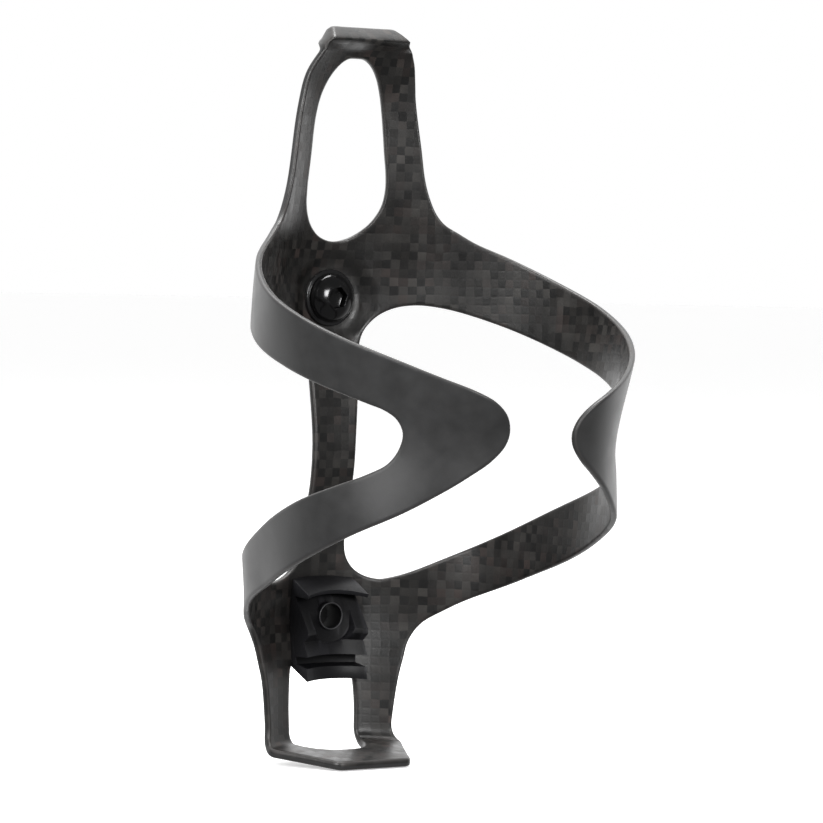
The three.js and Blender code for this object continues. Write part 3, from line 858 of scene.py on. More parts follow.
@dataclass(frozen=True)
class SolidFinish:
    """A plain black material with faint clouds, a fine grain and a painted highlight on its sharp edges."""

    name: str
    colour: tuple[float, float, float, float]
    roughness: float
    metallic: float = 0.0
    grain_scale: float = 900.0
    grain_depth: float = 0.00003
    # Colour and share of the painted highlight on sharp edges.
    edge: tuple[float, float, float, float] = (0.06, 0.06, 0.062, 1.0)
    edge_share: float = 0.4
    coat: float = 0.0
    specular: float = 0.5
    cloud_scale: float = 110.0
    # How much lighter the clouds are than the rest.
    cloud_gain: float = 1.35
    # How sharp an edge is where its painted highlight starts, and where it is full.
    edge_range: tuple[float, float] = (0.51, 0.60)

    def build(self) -> bpy.types.Material:
        """Makes the material.

        Returns:
            The material.
        """
        book = NodeBook(self.name)
        place = book.add("ShaderNodeTexCoord")
        cloud = book.add("ShaderNodeTexNoise")
        cloud.inputs["Scale"].default_value = self.cloud_scale
        cloud.inputs["Detail"].default_value = 5.0
        book.join(place, "Object", cloud, "Vector")
        light = tuple(c * self.cloud_gain for c in self.colour[:3]) + (1.0,)
        colour = book.mix(cloud.outputs[0], self.colour, light)
        # Painted highlight on sharp edges, found by pointiness.
        painted_edge_highlight = book.add("ShaderNodeNewGeometry")
        painted_edge_highlight_share = book.span(painted_edge_highlight.outputs["Pointiness"], *self.edge_range, 0.0, self.edge_share)
        final = book.mix(painted_edge_highlight_share.outputs[0], (0, 0, 0, 1), self.edge)
        book.join(colour, 2, final, 6)
        book.join(final, 2, book.shader, "Base Color")
        rough = book.span(cloud.outputs[0], 0.25, 0.75, self.roughness * 0.88, self.roughness * 1.12)
        book.join(rough, 0, book.shader, "Roughness")
        grain = book.add("ShaderNodeTexNoise")
        grain.inputs["Scale"].default_value = self.grain_scale
        grain.inputs["Detail"].default_value = 4.0
        book.join(place, "Object", grain, "Vector")
        bump = book.add("ShaderNodeBump")
        bump.inputs["Strength"].default_value = 0.5
        bump.inputs["Distance"].default_value = self.grain_depth
        book.join(grain, 0, bump, "Height")
        book.join(bump, 0, book.shader, "Normal")
        book.shader.inputs["Metallic"].default_value = self.metallic
        book.shader.inputs["Specular IOR Level"].default_value = self.specular
        book.shader.inputs["Coat Weight"].default_value = self.coat
        book.shader.inputs["Coat Roughness"].default_value = 0.15
        return book.material


@dataclass(frozen=True)
class PaperFloor:
    """A matt white sweep with the faintest clouding."""

    name: str = "studio_paper"
    cloud_scale: float = 6.0
    dim: tuple[float, float, float, float] = (0.93, 0.93, 0.93, 1.0)
    bright: tuple[float, float, float, float] = (0.95, 0.95, 0.95, 1.0)
    glow: float = 0.42

    def build(self) -> bpy.types.Material:
        """Makes the material.

        Returns:
            The material.
        """
        book = NodeBook(self.name)
        place = book.add("ShaderNodeTexCoord")
        cloud = book.add("ShaderNodeTexNoise")
        cloud.inputs["Scale"].default_value = self.cloud_scale
        book.join(place, "Object", cloud, "Vector")
        colour = book.mix(cloud.outputs[0], self.dim, self.bright)
        book.join(colour, 2, book.shader, "Base Color")
        book.shader.inputs["Roughness"].default_value = 0.9
        book.shader.inputs["Emission Color"].default_value = (1.0, 1.0, 1.0, 1.0)
        book.shader.inputs["Emission Strength"].default_value = self.glow
        return book.material


# ---------------------------------------------------------------- meshes


def new_object(name: str, mesh: bpy.types.Mesh) -> bpy.types.Object:
    """Adds a mesh to the scene as an object.

    Args:
        name: the object's name.
        mesh: its mesh.

    Returns:
        The object.
    """
    thing = bpy.data.objects.new(name, mesh)
    bpy.context.scene.collection.objects.link(thing)
    return thing


def smooth_by_angle(mesh: bpy.types.Mesh, degrees: float) -> None:
    """Shades a mesh smooth, with sharp edges past an angle.

    Args:
        mesh: the mesh to shade.
        degrees: the least angle of a sharp edge.
    """
    work = bmesh.new()
    work.from_mesh(mesh)
    limit = math.radians(degrees)
    for face in work.faces:
        face.smooth = True
    for edge in work.edges:
        edge.smooth = len(edge.link_faces) == 2 and edge.calc_face_angle(0.0) < limit
    work.to_mesh(mesh)
    work.free()


def turned_mesh(name: str, profile: Outline, centre: tuple[float, float, float],
                steps: int) -> bpy.types.Mesh:
    """A closed mesh turned about an axis along Y.

    Args:
        name: the mesh's name.
        profile: closed outline of (radius, y) in millimetres; radius 0 closes on the axis.
        centre: a point of the axis, in millimetres.
        steps: points round the axis.

    Returns:
        The mesh, in metres.
    """
    work = bmesh.new()
    rings = []
    for radius, y in profile:
        if radius == 0.0:
            rings.append([work.verts.new((centre[0] * MM, (centre[1] + y) * MM, centre[2] * MM))])
            continue
        ring = []
        for k in range(steps):
            turn = 2 * math.pi * k / steps
            ring.append(work.verts.new((
                (centre[0] + radius * math.cos(turn)) * MM, (centre[1] + y) * MM,
                (centre[2] + radius * math.sin(turn)) * MM)))
        rings.append(ring)
    closed = len(rings[0]) > 1
    count = len(rings) if closed else len(rings) - 1
    for i in range(count):
        a, b = rings[i], rings[(i + 1) % len(rings)]
        for k in range(steps):
            n = (k + 1) % steps
            corners = [a[k % len(a)], a[n % len(a)], b[n % len(b)], b[k % len(b)]]
            unique = list(dict.fromkeys(corners))
            if len(unique) > 2:
                work.faces.new(unique)
    bmesh.ops.recalc_face_normals(work, faces=work.faces)
    mesh = bpy.data.meshes.new(name)
    work.to_mesh(mesh)
    work.free()
    return mesh


def prism_mesh(name: str, outline: Outline, start: float, end: float) -> bpy.types.Mesh:
    """A closed prism whose (x, z) outline runs along Y between two values, in millimetres.

    Args:
        name: the mesh's name.
        outline: corners in order.
        start: y of one end.
        end: y of the other.

    Returns:
        The mesh, in metres.
    """
    work = bmesh.new()
    near = [work.verts.new((x * MM, start * MM, z * MM)) for x, z in outline]
    far = [work.verts.new((x * MM, end * MM, z * MM)) for x, z in outline]
    work.faces.new(near)
    work.faces.new(list(reversed(far)))
    for k in range(len(outline)):
        n = (k + 1) % len(outline)
        work.faces.new([near[k], far[k], far[n], near[n]])
    bmesh.ops.recalc_face_normals(work, faces=work.faces)
    mesh = bpy.data.meshes.new(name)
    work.to_mesh(mesh)
    work.free()
    return mesh


def baked(thing: bpy.types.Object) -> None:
    """Applies an object's modifiers to its mesh.

    Args:
        thing: the object.
    """
    graph = bpy.context.evaluated_depsgraph_get()
    mesh = bpy.data.meshes.new_from_object(thing.evaluated_get(graph))
    thing.modifiers.clear()
    thing.data = mesh


def cut(thing: bpy.types.Object, tool: bpy.types.Mesh) -> None:
    """Cuts a closed mesh out of an object.

    Args:
        thing: the object to cut.
        tool: the shape to take away.
    """
    cutter = new_object("cutter", tool)
    change = thing.modifiers.new("cut", "BOOLEAN")
    change.operation = "DIFFERENCE"
    change.solver = "EXACT"
    change.object = cutter
    baked(thing)
    bpy.data.objects.remove(cutter)


def softened(thing: bpy.types.Object, width: float, corner: float, smooth: float) -> None:
    """Rounds an object's sharp edges a little and shades it smooth.

    Args:
        thing: the object.
        width: width of the rounding, in millimetres.
        corner: the least angle of an edge that is rounded, in degrees.
        smooth: the least angle of an edge that still shows sharp, in degrees.
    """
    soften = thing.modifiers.new("soften", "BEVEL")
    soften.width = width * MM
    soften.segments = 2
    soften.limit_method = "ANGLE"
    soften.angle_limit = math.radians(corner)
    soften.harden_normals = False
    baked(thing)
    smooth_by_angle(thing.data, smooth)


# ---------------------------------------------------------------- the moulding


@dataclass
class Region:
    """One piece of the moulding: its name and the CAD nodes that it stands for."""

    part: Part
    name: str
    nodes: tuple[str, ...]
    slot: Slot


@dataclass
class CarbonMoulding:
    """The whole carbon sheet, divided where its wings and its loop start to bend."""

    sizes: CageSizes
    # Distances between points: along an edge or a seam, inside the sheet, and in the lip and the bend.
    spacing: float = 0.62
    filling: float = 1.25
    close_filling: float = 0.7
    # Height of a row of points inside the sheet, as a share of the distance between points.
    row_share: float = 0.866
    # Least distance from an edge of the points inside the sheet, and of those in the lip and the bend.
    clear: float = 1.3
    close_clear: float = 1.0
    # Extra rows of points in the lip, as run above the crown.
    lip_rows: tuple[float, ...] = (0.7, 5.5, 7.4)
    # Length of the bend's close rows, and the bands above and below that hold no other points.
    bend_rows: float = 4.2
    band_above: float = 0.8
    band_below: float = 4.6
    lip_band: float = 0.4
    # Least share of its depth that a ring's point keeps from every edge; nearer ones are left out.
    ring_clear: float = 0.96
    # Points this near to each other are one, and points this near to an edge are on it.
    weld: float = 1e-5
    snap: float = 1e-3
    # Twice the area of the smallest triangle that is kept.
    least_area: float = 1e-7
    # How far the seams between pieces run, past the ends of the wings' roots.
    seam_runs: tuple[float, float] = (-60.0, 70.0)
    seam_past_root: float = 2.0
    # Distance in from the sheet's edge and share of the half thickness there: a softened square edge.
    rings: tuple[tuple[float, float], ...] = (
        (0.0, 0.0), (0.035, 0.55), (0.14, 0.84), (0.42, 1.0), (0.8, 1.0))
    # Share of painted highlight on each ring: most on the corner, none on the faces.
    painted_edge_highlight: tuple[float, ...] = (0.0, 0.35, 1.0, 0.0, 0.0)
    # Where the wings (y) and the loop (z) start to follow their own bodies, and where they do so wholly.
    wing_bend: tuple[float, float] = (-18.6, -34.0)
    loop_bend: tuple[float, float] = (46.5, 60.0)

    def build(self) -> None:
        """Builds and dresses every region."""
        laminate = Laminate(self.sizes)
        flat, triangles, distance = self._flat_mesh(SheetOutlines(laminate))
        depths, shares = zip(*self.rings)
        share = np.interp(distance, depths, shares)
        arc = self.sizes.arc
        angle, run = flat[:, 0] / arc, flat[:, 1]
        front = laminate.place(angle, run, -share)
        back = laminate.place(angle, run, share)
        # The two faces share the points on the very edge.
        shared = share == 0.0
        back_index = np.arange(len(flat))
        back_index[~shared] = len(flat) + np.arange((~shared).sum())
        points = np.vstack([front, back[~shared]]) * MM
        sheet = np.vstack([flat, flat[~shared]]) * MM * SHEET_MAP_SCALE
        # The painted edge highlight, kept in the rim attribute.
        painted_edge_highlight_share = np.interp(distance, depths, self.painted_edge_highlight)
        rim = np.concatenate([painted_edge_highlight_share, painted_edge_highlight_share[~shared]])
        faces = np.vstack([triangles, back_index[triangles][:, ::-1]])
        finish = np.repeat([SheetFace.INNER, SheetFace.OUTER], len(triangles))
        whole = bpy.data.meshes.new("whole")
        whole.from_pydata(points.tolist(), [], faces.tolist())
        whole.update()
        normals = np.array([tuple(n.vector) for n in whole.vertex_normals])
        centre = flat[triangles].mean(1)
        parts = self._part_of(centre[:, 0] / arc, centre[:, 1])
        parts = np.concatenate([parts, parts])
        woven = WovenCarbon("carbon_weave").build()
        plain = WovenCarbon("carbon_satin", weave=0.06, roughness=0.46,
                            dark=(0.030, 0.030, 0.0305, 1.0)).build()
        regions = (
            Region(Part.SPINE_AND_FOOT, "carbon_spine_and_foot", ("spine", "foot"), Slot.CARBON_WEAVE),
            Region(Part.RIGHT_WING, "carbon_right_wing", ("right_wing",), Slot.CARBON_SATIN),
            Region(Part.LEFT_WING, "carbon_left_wing", ("left_wing",), Slot.CARBON_SATIN),
            Region(Part.TOP_LOOP, "carbon_top_loop", ("top_loop",), Slot.CARBON_WEAVE),
        )
        for region in regions:
            chosen = parts == region.part
            thing = self._piece(region, points, sheet, rim, normals, faces[chosen], finish[chosen])
            thing.data.materials.append(woven)
            thing.data.materials.append(plain)
            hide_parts(*region.nodes)
            self._hang(thing, region.part)
            LOG.info("%s: %d faces", region.name, len(thing.data.polygons))
        bpy.data.meshes.remove(whole)

    def _hang(self, thing: bpy.types.Object, part: Part) -> None:
        """Lets the spine ride on the body; the other pieces stay where they are.

        Args:
            thing: the piece.
            part: which piece it is.
        """
        if part is Part.SPINE_AND_FOOT:
            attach(thing, "body")
        elif part is Part.TOP_LOOP:
            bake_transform(thing)
        else:
            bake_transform(thing)

    def _part_of(self, angle: np.ndarray, run: np.ndarray) -> np.ndarray:
        """The number of the region that each place of the sheet belongs to.

        Args:
            angle: degrees round the bottle from the spine.
            run: run along the sheet.

        Returns:
            One Part's number for each place.
        """
        root = self.sizes.root_angle
        part = np.full(len(angle), Part.SPINE_AND_FOOT, int)
        part[(run > self.sizes.loop_cut) & (np.abs(angle) <= root)] = Part.TOP_LOOP
        part[angle > root] = Part.RIGHT_WING
        part[angle < -root] = Part.LEFT_WING
        return part

    def _flat_mesh(self, outlines: SheetOutlines) -> tuple[np.ndarray, np.ndarray, np.ndarray]:
        """Triangulates the flat sheet.

        Args:
            outlines: the sheet's edges.

        Returns:
            The flat points, the triangles (anticlockwise), and each point's distance from an edge.
        """
        outer, holes = outlines.loops(self.spacing)
        loops = [outer, *holes]
        points: list[np.ndarray] = []
        edges: list[tuple[int, int]] = []
        count = 0
        for number, loop in enumerate(loops):
            area = np.sum(loop[:, 0] * np.roll(loop[:, 1], -1) - np.roll(loop[:, 0], -1) * loop[:, 1])
            ahead, behind = np.roll(loop, -1, 0), np.roll(loop, 1, 0)
            tangent = ahead - behind
            tangent /= np.linalg.norm(tangent, axis=1)[:, None]
            inward = np.column_stack([-tangent[:, 1], tangent[:, 0]]) * (1 if area > 0 else -1)
            inward = inward if number == 0 else -inward
            for depth, _ in self.rings:
                ring = loop + inward * depth
                if depth > 0:
                    ring = ring[edge_distance(ring, loops) > depth * self.ring_clear]
                points.append(ring)
                if depth == 0:
                    edges += [(count + k, count + (k + 1) % len(ring)) for k in range(len(ring))]
                count += len(ring)
        fill = self._filling_points(loops)
        points.append(fill)
        count += len(fill)
        arc, root, cut_run = self.sizes.arc, self.sizes.root_angle, self.sizes.loop_cut
        low, high = self.seam_runs
        wide = root + self.seam_past_root
        seams = [((-root, low), (-root, high)), ((root, low), (root, high)),
                 ((-wide, cut_run), (wide, cut_run))]
        for start, end in seams:
            a, b = np.array(start) * (arc, 1), np.array(end) * (arc, 1)
            pieces = int(np.linalg.norm(b - a) / self.spacing)
            points.append(a + (b - a) * np.linspace(0, 1, pieces + 1)[:, None])
            edges += [(count + k, count + k + 1) for k in range(pieces)]
            count += pieces + 1
        stacked = np.vstack(points)
        made = delaunay_2d_cdt([Vector(p) for p in stacked.tolist()], edges, [], 0, self.weld)
        flat = np.array([tuple(v) for v in made[0]])
        triangles = np.array([tuple(f) for f in made[2]])
        centre = flat[triangles].mean(1)
        keep = inside(centre, outer)
        for hole in holes:
            keep &= ~inside(centre, hole)
        triangles = triangles[keep]
        a, b, c = (flat[triangles[:, k]] for k in range(3))
        area = (b[:, 0] - a[:, 0]) * (c[:, 1] - a[:, 1]) - (c[:, 0] - a[:, 0]) * (b[:, 1] - a[:, 1])
        triangles[area < 0] = triangles[area < 0][:, ::-1]
        triangles = triangles[np.abs(area) > self.least_area]
        used = np.unique(triangles)
        renumber = np.zeros(len(flat), int)
        renumber[used] = np.arange(len(used))
        flat, triangles = flat[used], renumber[triangles]
        distance = edge_distance(flat, loops)
        distance[distance < self.snap] = 0.0
        return flat, triangles, distance

    def _filling_points(self, loops: list[np.ndarray]) -> np.ndarray:
        """Points inside the sheet: a triangular grid, and close rows along the lip and the bend.

        Args:
            loops: the outer edge, then the edges of the openings.

        Returns:
            One row of arc and run for each point.
        """
        outer = loops[0]
        low, high = outer.min(0), outer.max(0)
        step = self.filling
        rows = []
        for k, y in enumerate(np.arange(low[1], high[1], step * self.row_share)):
            x = np.arange(low[0] + (k % 2) * step / 2, high[0], step)
            rows.append(np.column_stack([x, np.full(len(x), y)]))
        grid = np.vstack(rows)
        crown, bend = self.sizes.crown_height, self.sizes.bend_start
        in_lip = grid[:, 1] > crown - self.lip_band
        in_bend = (grid[:, 1] < bend + self.band_above) & (grid[:, 1] > bend - self.band_below)
        grid = grid[~(in_lip | in_bend)]
        special = [crown + station[0] for station in LIP_STATIONS] + [crown + row for row in self.lip_rows]
        special += list(np.arange(bend, bend - self.bend_rows, -self.spacing))
        x = np.arange(low[0], high[0], self.close_filling)
        extra = np.vstack([np.column_stack([x, np.full(len(x), y)]) for y in special])
        points = np.vstack([grid, extra])
        keep = inside(points, outer)
        for hole in loops[1:]:
            keep &= ~inside(points, hole)
        points = points[keep]
        far = edge_distance(points, loops)
        is_close = (points[:, 1] > crown - self.lip_band) | (points[:, 1] < bend + self.band_above)
        return points[far > np.where(is_close, self.close_clear, self.clear)]

    def _piece(self, region: Region, points: np.ndarray, sheet: np.ndarray, rim: np.ndarray,
               normals: np.ndarray, faces: np.ndarray, finish: np.ndarray) -> bpy.types.Object:
        """Makes one region's object, with the whole sheet's normals so that no seam shows.

        Args:
            region: the piece to make.
            points: the whole sheet's points in metres.
            sheet: each point's place on the sheet's own map.
            rim: each point's share of painted edge highlight.
            normals: each point's normal.
            faces: the piece's triangles, as numbers of the whole sheet's points.
            finish: the place of each triangle's finish.

        Returns:
            The object.
        """
        used = np.unique(faces)
        renumber = np.zeros(len(points), int)
        renumber[used] = np.arange(len(used))
        mesh = bpy.data.meshes.new(region.name)
        mesh.from_pydata(points[used].tolist(), [], renumber[faces].tolist())
        mesh.update()
        mesh.polygons.foreach_set("material_index", finish.astype(np.int32))
        mesh.polygons.foreach_set("use_smooth", np.ones(len(faces), bool))
        layer = mesh.uv_layers.new(name="sheet")
        corners = np.zeros(len(mesh.loops), np.int32)
        mesh.loops.foreach_get("vertex_index", corners)
        layer.data.foreach_set("uv", sheet[used][corners].astype(np.float32).ravel())
        # Where the painted edge highlight goes.
        edge = mesh.attributes.new("rim", "FLOAT", "POINT")
        edge.data.foreach_set("value", rim[used].astype(np.float32))
        mesh.normals_split_custom_set_from_vertices(normals[used].tolist())
        return new_object(region.name, mesh)


# ---------------------------------------------------------------- pads, block and fasteners


@dataclass
class FramePads:
    """The two round pads behind the bolt holes, with the holes' walls."""

    sizes: CageSizes
    radius: float = 7.0
    bore: float = 2.5
    rounding: float = 0.4
    flare: float = 1.1
    # How far the bore's wall stops short of the sheet's face, and how far the pad sinks into the sheet.
    bore_short: float = 0.12
    sunk: float = 0.5
    points_round: int = 64

    def build(self) -> None:
        """Builds both pads."""
        laminate = Laminate(self.sizes)
        # Painted highlight on the pads' sharp edges.
        outside = SolidFinish("pad_laminate", (0.028, 0.028, 0.0285, 1), 0.46).build()
        # Painted shade in the bore: much darker and nearly without reflection.
        bore = SolidFinish("bore_laminate_painted_shade", (0.007, 0.007, 0.0075, 1), 0.7, specular=0.02,
                           edge_share=0.0).build()
        size = self.sizes
        for name, height in (("upper_frame_pad", size.upper_bolt), ("lower_frame_pad", size.lower_bolt)):
            depth = size.axis_depth - size.bottle_radius - float(laminate.outside(0.0, height))
            profile = self._profile(depth - size.plate_wall / 2, depth + size.plate_wall / 2)
            mesh = turned_mesh(name, profile, (0.0, 0.0, height), self.points_round)
            smooth_by_angle(mesh, 40)
            thing = new_object(name, mesh)
            thing.data.materials.append(outside)
            thing.data.materials.append(bore)
            for face in mesh.polygons:
                centre = face.center
                # Faces in the hole get the painted shade.
                if math.hypot(centre.x, centre.z - height * MM) < (self.bore + self.rounding / 2) * MM:
                    face.material_index = PadFace.BORE_PAINTED_SHADE
            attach(thing, "body")
            LOG.info("%s: back face at y = 0", name)

    def _profile(self, back: float, front: float) -> Outline:
        """A pad's closed outline as (radius, y), with rounded rims and a flare at the sheet.

        Args:
            back: depth of the sheet's face towards the frame.
            front: depth of the sheet's face towards the bottle.

        Returns:
            The outline in millimetres.
        """
        soft, corner = self.rounding, self.rounding * ROUND_CORNER
        flare, hollow = self.flare, self.flare * ROUND_CORNER
        bore, radius, inner = self.bore, self.radius, self.bore + self.sunk
        end, deep = -front + self.bore_short, -back - self.sunk
        return [
            (bore, end), (bore, -soft), (bore + corner, -corner), (bore + soft, 0.0),
            (radius - soft, 0.0), (radius - corner, -corner), (radius, -soft),
            (radius, -back + flare), (radius + hollow, -back + hollow), (radius + flare, -back - 0.05),
            (radius, deep), (inner, deep), (inner, end),
        ]


@dataclass
class CradleBlock:
    """The moulded block over the lower hole: roof, ramped walls round a pocket, chin and fin."""

    sizes: CageSizes
    width: float = 14.2
    projection: float = 7.2
    scoop: float = 2.1
    wall: float = 2.3
    floor: float = 3.7
    collar: float = 4.3
    hole_radius: float = 2.5
    ring_radius: float = 0.14
    edge: float = 0.22
    slices: int = 28
    # Points of the pocket's round bottom, of the hole and of the collar.
    bottom_points: int = 25
    hole_points: int = 48
    collar_points: int = 60
    # Steps over the collar's rounded mouth.
    mouth_steps: int = 5
    # Where the block meets the sheet: degrees round the bottle, and the clearance.
    seat_angle: float = 8.0
    seat_gap: float = 0.1
    # The pocket, from the hole's level: its top, the start of its rounded bottom and that bottom's drop.
    pocket_top: float = 3.75
    pocket_start: float = -1.7
    pocket_drop: float = 3.7
    # How far the cutting tools reach past the block, forward and back.
    tool_front: float = 14.0
    tool_back: float = 1.0
    # Rise of the hollowed front edges, in the roof and below it, and where the roof starts.
    roof_lift: float = 0.9
    wall_lift: float = 0.25
    roof_start: float = 3.0
    # How deep in the block the collar starts.
    collar_root: float = 0.5

    def build(self) -> None:
        """Builds the block and lets it stand for the CAD node."""
        laminate = Laminate(self.sizes)
        size, level = self.sizes, self.sizes.lower_bolt
        outside = float(laminate.outside(self.seat_angle, level))
        depth = size.axis_depth - size.bottle_radius - outside
        face = -(depth + size.plate_wall / 2 + self.seat_gap)
        thing = new_object("moulded_cradle_block", self._bar(face))
        half = self.width / 2 - self.wall
        bottom = [(half * math.cos(t), level + self.pocket_start - self.pocket_drop * math.sin(t))
                  for t in np.linspace(0, math.pi, self.bottom_points)]
        outline = [(-half, level + self.pocket_top), (half, level + self.pocket_top), *bottom]
        cut(thing, prism_mesh("pocket", outline, face - self.floor, face - self.tool_front))
        turns = np.linspace(0, 2 * math.pi, self.hole_points + 1)[:-1]
        edge = [(self.hole_radius * math.cos(t), level + self.hole_radius * math.sin(t)) for t in turns]
        cut(thing, prism_mesh("hole", edge, self.tool_back, face - self.tool_front))
        softened(thing, self.edge, corner=32, smooth=38)
        self._dress(thing.data, level)
        self._add_collar(thing.data, face, level)
        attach(thing, "body")
        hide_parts("cradle_block")
        LOG.info("moulded_cradle_block: %d faces", len(thing.data.polygons))

    def _dress(self, mesh: bpy.types.Mesh, level: float) -> None:
        """Gives the block its finishes: the plastic, a painted highlight on the collar's rim, and painted
        shade, the darkest, in the hole.

        Args:
            mesh: the block's mesh.
            level: height of the hole.
        """
        mesh.materials.clear()
        # The plastic, with a painted highlight on its sharp edges.
        mesh.materials.append(SolidFinish(
            "moulded_plastic", (0.0045, 0.0045, 0.0052, 1), 0.44, grain_scale=1400, grain_depth=0.00005,
            edge=(0.030, 0.030, 0.034, 1), specular=0.22).build())
        # Painted highlight: the collar's thin rim, much paler than the plastic.
        mesh.materials.append(SolidFinish("moulded_rim_painted_highlight", (0.040, 0.040, 0.043, 1), 0.4).build())
        # Painted shade in the hole: the darkest, nearly without reflection.
        mesh.materials.append(SolidFinish("moulded_bore_painted_shade", (0.0035, 0.0035, 0.004, 1), 0.7,
                                          edge_share=0.0, specular=0.05).build())
        # Faces of the hole's wall get the painted shade.
        for side in mesh.polygons:
            radial = side.normal.y ** 2 < 0.25
            across, up = side.center.x, side.center.z - level * MM
            if radial and math.hypot(across, up) < (self.hole_radius + 0.1) * MM:
                side.material_index = BlockFace.BORE_PAINTED_SHADE

    def _add_collar(self, mesh: bpy.types.Mesh, face: float, level: float) -> None:
        """Adds the short collar round the hole, with a painted highlight on its thin rim.

        Args:
            mesh: the block's mesh, changed in place.
            face: y of the block's face on the sheet.
            level: height of the hole.
        """
        small, inner = self.ring_radius, self.hole_radius
        turns = [math.pi * k / self.mouth_steps for k in range(self.mouth_steps + 1)]
        mouth = [(inner + small - small * math.cos(t), face - self.collar - small * math.sin(t))
                 for t in turns]
        root = face - self.collar_root
        profile = [(inner, root), *mouth, (inner + 2 * small, root)]
        collar = turned_mesh("collar", profile, (0.0, 0.0, level), self.collar_points)
        smooth_by_angle(collar, 80)
        # The rim's faces get the painted highlight, the hole's the painted shade.
        for side in collar.polygons:
            reach = math.hypot(side.center.x, side.center.z - level * MM)
            if side.center.y < (face - self.collar) * MM:
                side.material_index = BlockFace.RIM_PAINTED_HIGHLIGHT
            elif reach < (inner + small) * MM:
                side.material_index = BlockFace.BORE_PAINTED_SHADE
        work = bmesh.new()
        work.from_mesh(mesh)
        work.from_mesh(collar)
        work.to_mesh(mesh)
        work.free()
        bpy.data.meshes.remove(collar)

    def _bar(self, face: float) -> bpy.types.Mesh:
        """The block's side profile run across its width, its front edges hollowed to an arc.

        Args:
            face: y of the block's face on the sheet.

        Returns:
            The solid block's mesh, in metres.
        """
        level, front = self.sizes.lower_bolt, self.projection
        # Distance out from the face, and rise above the hole: roof, ramped wall, chin and fin.
        profile = [
            (-1.0, 7.9), (0.0, 7.8), (front, 4.4), (front - 0.5, 3.7), (2.0, 4.0), (front, -2.6),
            (front, -3.6), (front - 1.7, -5.0), (front - 0.1, -7.9), (2.6, -8.2), (2.6, -9.7),
            (front - 0.3, -10.3), (front - 0.1, -12.8), (0.0, -9.8), (-1.0, -9.7),
        ]
        work = bmesh.new()
        rows = []
        for k in range(self.slices + 1):
            x = self.width * (k / self.slices - 0.5)
            hollow = 1 - (2 * x / self.width) ** 2
            row = []
            for out, rise in profile:
                share = max(0.0, out / front)
                y = face - out + self.scoop * hollow * share
                lift = self.roof_lift if rise > self.roof_start else self.wall_lift
                z = level + rise + lift * hollow * share
                row.append(work.verts.new((x * MM, y * MM, z * MM)))
            rows.append(row)
        count = len(profile)
        for a, b in zip(rows, rows[1:]):
            for k in range(count):
                n = (k + 1) % count
                work.faces.new([a[k], a[n], b[n], b[k]])
        work.faces.new(rows[0])
        work.faces.new(list(reversed(rows[-1])))
        bmesh.ops.recalc_face_normals(work, faces=work.faces)
        mesh = bpy.data.meshes.new("moulded_cradle_block")
        work.to_mesh(mesh)
        work.free()
        return mesh


